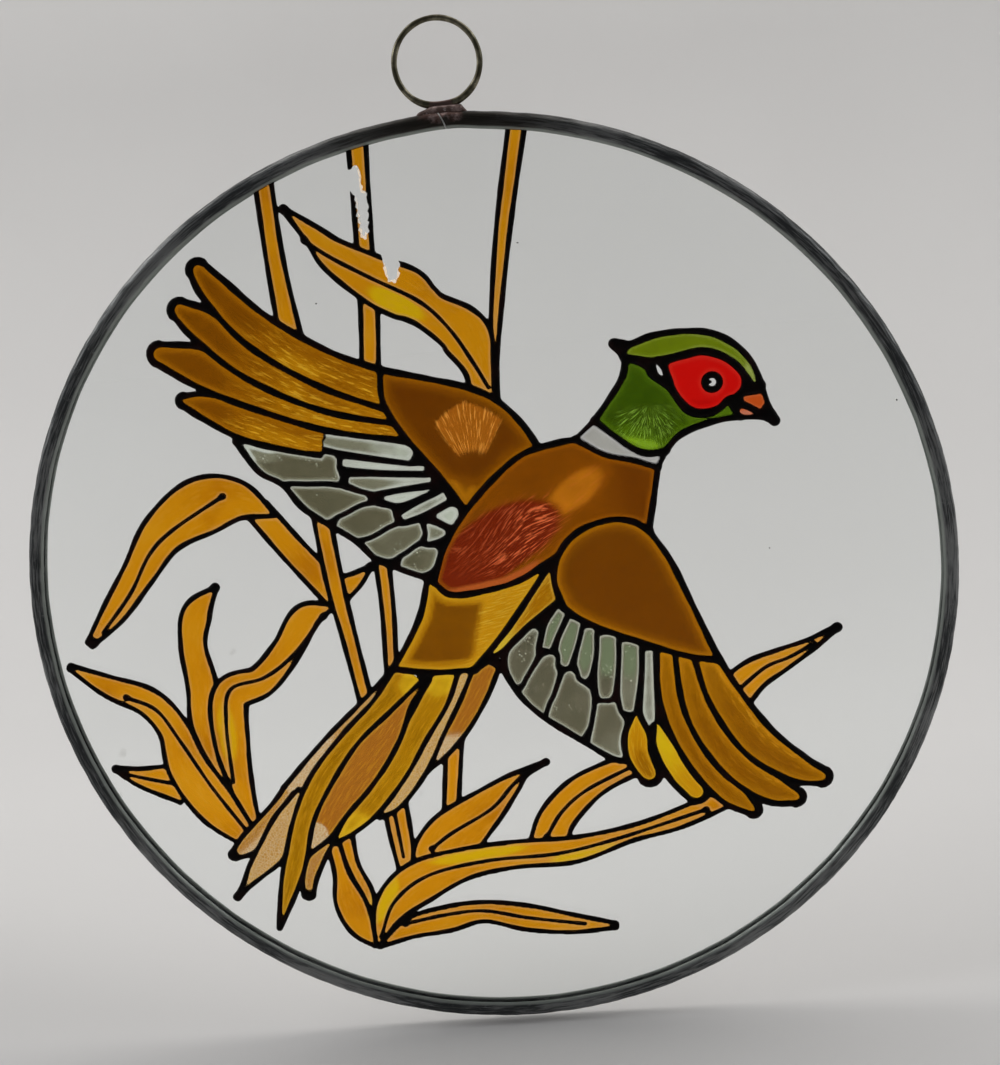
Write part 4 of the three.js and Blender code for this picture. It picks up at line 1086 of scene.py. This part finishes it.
stain_piece("beak", "orange_stain", beak_look, glaze(
    "orange stain", (0.7, 0.09, 0.01), (0.88, 0.14, 0.02), (0.9, 0.3, 0.18), rim=(0.95, 0.28, 0.1),
    rim_width=0.5, rim_share=0.3))

# ---- The lead came: one H-shaped strip of lead, cut to a U, bent round the pane and butted at the top.
# The soft metal is scuffed and dented, and its ends flare out a little at the joint.
came_low, came_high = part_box("lead_came")
CAME_RADIUS = came_high.x / MM
CAME_HALF = -came_low.y / MM
CHANNEL_HALF = 1.45
CAME_STEPS = 480
JOINT_HALF = 0.15
JOINT_LEAN = 1.5
FLARE = 0.42
FLARE_REACH = 6.875

# Out from the lip, and forward, from the channel's floor round to the back of the strip
half_profile = [(CAME_FACE - 0.9, CHANNEL_HALF), (0.5, CHANNEL_HALF), (0.05, CHANNEL_HALF + 0.12),
                (0, CHANNEL_HALF + 0.3), (0.12, CHANNEL_HALF + 0.46), (0.72, CAME_HALF - 0.1),
                (0.95, CAME_HALF - 0.02), (1.6, CAME_HALF), (CAME_FACE - 1.3, CAME_HALF - 0.03),
                (CAME_FACE - 0.75, CAME_HALF - 0.24), (CAME_FACE - 0.32, CAME_HALF - 0.7),
                (CAME_FACE - 0.06, CAME_HALF - 1.4), (CAME_FACE, 0.35)]
section_out, section_forward = np.array(half_profile + [(r, -f) for r, f in reversed(half_profile)]).T


def lead_strip(turn, sunk=0.0):
    """Points of the strip's section at each angle from the top, less a little where it is a seam."""
    turn = turn[:, None]
    from_joint = np.minimum(turn % TURN, -turn % TURN) * CAME_RADIUS
    flare = FLARE * np.exp(-(from_joint / FLARE_REACH) ** 2)
    dents = 0.05 * np.sin(turn * 23 + 1.1 * np.sin(turn * 7)) + 0.035 * np.sin(turn * 61 + 2.3)
    dents = np.abs(dents + 0.03 * np.sin(turn * 137 + 3 * np.sin(turn * 11)))
    outer = np.clip(section_out / CAME_FACE, 0, 1)
    wobble = np.maximum(0.07 * np.sin(turn * 31 + 2 * np.sin(turn * 5)) * (section_out < 1), 0)
    radius = CAME_LIP + section_out + flare - (dents + sunk) * outer + wobble
    forward = section_forward - np.sign(section_forward) * (dents * 0.6 + sunk)
    lean = JOINT_LEAN * (0.45 - outer ** 1.6) * np.exp(-(from_joint / 4) ** 2)
    return place(radius * np.sin(turn) + lean, radius * np.cos(turn), forward)


def strip_faces(steps):
    count = len(section_out)
    ends = [tuple(reversed(range(count))), tuple(steps * count + k for k in range(count))]
    return tube_faces(steps + 1, count, False) + ends


turn = np.linspace(JOINT_HALF / CAME_RADIUS, TURN - JOINT_HALF / CAME_RADIUS, CAME_STEPS + 1)
came = add_piece("lead_strip", lead_strip(turn), strip_faces(CAME_STEPS))
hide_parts("lead_came")
add_marks(came, {"around": np.repeat(turn * CAME_RADIUS, len(section_out)),
                 "across": np.tile(section_out, len(turn)),
                 "from_joint": np.repeat(np.minimum(turn, TURN - turn) * CAME_RADIUS, len(section_out))})

new_material("lead", came)
coords = object_place()
streaks = noise(pair(times(marked("around"), 0.16), times(marked("across"), 2.6)), 1.0, 4.0, 0.65)
broad = noise(coords, 30.0)
fine = noise(coords, 620.0, 4.0, 0.65)
wear = plus(streaks, times(calc("SUBTRACT", broad, 0.5), 0.8))
tarnish = mix(ease(wear, 0.34, 0.66), (0.035, 0.038, 0.04), (0.2, 0.205, 0.205))
colour = mix(ease(fine, 0.62, 0.74, 0.0, 0.3), tarnish, (0.3, 0.31, 0.31))
# Painted shade: the strip goes near-black towards the joint at the top, for the dark reflection it shows
# there.
shade_near_joint = ease(marked("from_joint"), 38.0, 6.0, 0.0, 0.93)
colour = mix(shade_near_joint, colour, (0.016, 0.012, 0.008))
ragged_edge = times(noise(coords, 420.0), 5.0)
smear = times(ease(plus(marked("from_joint"), ragged_edge), 7.6, 6.2),
              ease(plus(marked("across"), ragged_edge), 4.1, 5.3))
smear_tone = mix(ease(fine, 0.45, 0.65), (0.07, 0.038, 0.032), (0.26, 0.19, 0.18))
colour = mix(smear, colour, smear_tone)
# Painted highlight: the strip's colour goes lighter along its inner lip, for the light that edge catches.
lip_highlight = ease(marked("across"), 0.72, 0.3, 0.0, 0.75)
feed(shader, Base_Color=mix(lip_highlight, colour, (0.34, 0.37, 0.34)), Metallic=0.8,
     Roughness=ease(wear, 0.3, 0.7, 0.5, 0.32))
bump(plus(times(fine, 0.5), streaks), 0.00012)

# ---- The solder: a blob of tin and lead that closes the joint and holds the ring, run out to both sides.
# Its surface is lumpy and half dulled, and a bright seam of it fills the butt joint.
solder_low, solder_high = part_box("came_joint_solder")
INSET = 0.05
SOLDER_HALF = solder_high.x / MM - INSET
SOLDER_TOP = solder_high.z / MM - PANE_UP - INSET
SOLDER_DEEP = -solder_low.y / MM - INSET
SOLDER_STEPS = 72
SOLDER_ROUND = 32
RISES = [(-5.4, 0.1), (-4.9, 0.5), (-3.6, 0.75), (-2.4, 1.15), (-1.2, 1.45), (0.6, 1.5), (2.2, 1.52),
         (3.4, 1.6), (4.2, 1.35), (4.9, 0.6), (5.4, 0.1)]

steps = np.linspace(-1, 1, SOLDER_STEPS + 1)[:, None]
angle = np.arange(SOLDER_ROUND) / SOLDER_ROUND * TURN
across = steps * SOLDER_HALF
skirt = np.sqrt(CAME_RADIUS ** 2 - across ** 2)
bottom = skirt - 0.6 - 0.5 * np.exp(-((across + 0.6) / 2.2) ** 2)
top = np.minimum(skirt + FLARE * 0.8 + np.interp(across, *zip(*RISES)), SOLDER_TOP)
taper = np.maximum(1 - np.abs(steps) ** 6, 0) ** 0.4
lumps = np.abs(0.015 * np.sin(across * 2.3 + 2 * angle))
squarish, boxy = [np.abs(wave) ** 0.8 * np.sign(wave) for wave in (np.sin(angle), np.cos(angle))]
up = (top + bottom) / 2 + (top - bottom) / 2 * squarish * taper * (1 - lumps)
out = (SOLDER_DEEP - 0.15 * steps ** 2) * taper * boxy * (1 - lumps * 2)
faces = [face[::-1] for face in tube_faces(SOLDER_STEPS + 1, SOLDER_ROUND, False)]
solder = add_piece("joint_solder", place(across, up, out), faces)
edit = bmesh.new()
edit.from_mesh(solder.data)
bmesh.ops.remove_doubles(edit, verts=edit.verts, dist=0.00001)
bmesh.ops.holes_fill(edit, edges=edit.edges, sides=0)
bmesh.ops.recalc_face_normals(edit, faces=edit.faces)
edit.to_mesh(solder.data)
edit.free()
solder.data.polygons.foreach_set("use_smooth", [True] * len(solder.data.polygons))
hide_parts("came_joint_solder")

new_material("solder", solder)
coords = object_place()
flow = noise(coords, 520.0, 4.0)
colour = mix(ease(flow, 0.4, 0.62), (0.085, 0.05, 0.042), (0.3, 0.215, 0.2))
flecks = ease(noise(coords, 900.0), 0.6, 0.7, 0.0, 0.45)
feed(shader, Base_Color=mix(flecks, colour, (0.6, 0.52, 0.5)), Metallic=0.45,
     Roughness=ease(flow, 0.3, 0.7, 0.6, 0.4))
bump(flow, 0.0002)

SEAM_STEPS = 4
turn = np.linspace(-JOINT_HALF, JOINT_HALF, SEAM_STEPS + 1) / CAME_RADIUS
seam = add_piece("joint_seam", lead_strip(turn, 0.03), strip_faces(SEAM_STEPS))
new_material("bright seam", seam)
feed(shader, Base_Color=mix(noise(object_place(), 1200.0), (0.3, 0.29, 0.28), (0.85, 0.86, 0.86)),
     Metallic=0.5, Roughness=0.5)

# ---- The hanging ring: a closed ring of bronze wire, dark with age, with solder drawn up its foot.
# The wire is thickest at the foot, where the solder covers it.
ring_low, ring_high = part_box("hanging_ring")
WIRE_HALF = -ring_low.y / MM
RING_RADIUS = (ring_high.x - ring_low.x) / 2 / MM - WIRE_HALF
RING_UP = (ring_low.z + ring_high.z) / 2 / MM - PANE_UP
RING_STEPS = 160
WIRE_SIDES = 20

turn = np.arange(RING_STEPS)[:, None] / RING_STEPS * TURN
from_foot = np.minimum(turn, TURN - turn)
foot = np.exp(-(from_foot / 0.5) ** 2) + 0.35 * np.exp(-((turn - 0.75) / 0.4) ** 2)
thick = WIRE_HALF * (0.95 + 0.03 * np.sin(turn * 9) + 0.4 * foot)
round_wire = np.arange(WIRE_SIDES) / WIRE_SIDES * TURN
reach = RING_RADIUS - 0.44 * foot * WIRE_HALF + thick * np.cos(round_wire)
points = place(reach * np.sin(turn), RING_UP - reach * np.cos(turn),
               np.minimum(thick, WIRE_HALF) * np.sin(round_wire))
ring = add_piece("wire_ring", points, tube_faces(RING_STEPS, WIRE_SIDES))
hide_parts("hanging_ring")
add_marks(ring, {"foot": np.repeat(np.exp(-(from_foot[:, 0] / 0.3) ** 4), WIRE_SIDES)})

new_material("aged bronze", ring)
patina = noise(object_place(), 240.0, 4.0)
colour = mix(ease(patina, 0.42, 0.64), (0.075, 0.068, 0.045), (0.26, 0.24, 0.17))
drawn_up = ease(plus(marked("foot"), times(patina, 0.3)), 0.4, 0.8)
feed(shader, Base_Color=mix(drawn_up, colour, (0.13, 0.085, 0.075)), Metallic=1.0,
     Roughness=ease(patina, 0.3, 0.7, 0.42, 0.25))
bump(patina, 0.00005)

# ---- The studio: a pale seamless floor and wall that only show from their lit side, soft light from both
# sides, and a camera a little above the pane and to its right.
FLOOR_UP = came_low.z - 0.002
BACK = 0.42
SWEEP = 0.25
PAPER_LONG = 1.6
PAPER_HALF = 2.2
path = [(-PAPER_LONG, FLOOR_UP), (BACK - SWEEP, FLOOR_UP)]
path += [(BACK - SWEEP + SWEEP * math.sin(a), FLOOR_UP + SWEEP - SWEEP * math.cos(a))
         for a in np.linspace(0, math.pi / 2, 24)[1:]]
path += [(BACK, PAPER_LONG)]
points = np.array([(x, y, z) for y, z in path for x in (-PAPER_HALF, PAPER_HALF)])
faces = [(2 * i, 2 * i + 1, 2 * i + 3, 2 * i + 2) for i in range(len(path) - 1)]
backdrop = add_mesh("backdrop", points, faces)
new_material("pale paper", backdrop)
coords = object_place()
paper_tone = mix(ease(noise(coords, 3.0), 0.3, 0.7), (0.72, 0.715, 0.71), (0.76, 0.755, 0.75))
# Painted shadow: the paper darkens towards its front left corner, for the shade that falls there.
spot_on = put("ShaderNodeSeparateXYZ", Vector=coords)
shadow_front_left = plus(times(spot_on.outputs["X"], 0.5), spot_on.outputs["Y"])
feed(shader, Base_Color=mix(ease(shadow_front_left, 0.02, -0.07, 0.0, 0.35), paper_tone, (0.45, 0.45, 0.455)),
     Roughness=0.9,
     Alpha=calc("SUBTRACT", 1.0, put("ShaderNodeNewGeometry").outputs["Backfacing"]))

world = bpy.data.worlds.new("soft room")
bpy.context.scene.world = world
world.use_nodes = True
world.node_tree.nodes["Background"].inputs[0].default_value = (0.97, 0.98, 1.0, 1)
world.node_tree.nodes["Background"].inputs[1].default_value = 0.14


def aim(made, at, towards, roll=0.0):
    """Puts a light or a camera in its place and turns it."""
    turned = (Vector(towards) - Vector(at)).to_track_quat("-Z", "Y").to_matrix().to_4x4()
    made.matrix_world = Matrix.Translation(at) @ turned @ Matrix.Rotation(roll, 4, "Z")


def soft_box(name, at, towards, size, power, colour=(1, 1, 1)):
    light = bpy.data.lights.new(name, "AREA")
    light.shape = "RECTANGLE"
    light.size, light.size_y = size
    light.energy = power
    light.color = colour
    aim(add_object(name, light), at, towards)


soft_box("left_window", (-0.95, -0.05, 0.5), (0.1, 0.2, -0.1), (0.8, 0.9), 4.6)
soft_box("right_window", (0.95, -0.05, 0.45), (-0.1, 0.2, -0.1), (0.8, 0.8), 3.3)
soft_box("wall_wash", (0.0, 0.12, 0.6), (0.0, BACK, 0.1), (1.6, 0.3), 3.0, (1.0, 0.965, 0.92))

CAMERA_TURN = math.radians(4.58)
CAMERA_RISE = math.radians(14.34)
CAMERA_ROLL = math.radians(-5.41)
CAMERA_AWAY = 0.35
AIM = Vector((0.00385, 0, 0.0129))
LENS = 56.96

middle = Vector((0, 0, PANE_UP * MM))
back = Vector((math.sin(CAMERA_TURN) * math.cos(CAMERA_RISE), -math.cos(CAMERA_TURN) * math.cos(CAMERA_RISE),
               math.sin(CAMERA_RISE)))
camera = add_object("camera", bpy.data.cameras.new("camera"))
aim(camera, middle + back * CAMERA_AWAY, middle + AIM, CAMERA_ROLL)
camera.data.sensor_fit = "HORIZONTAL"
camera.data.sensor_width = 36
camera.data.lens = LENS
camera.data.clip_start = 0.01
bpy.context.scene.camera = camera
bpy.context.scene.view_settings.view_transform = "Standard"
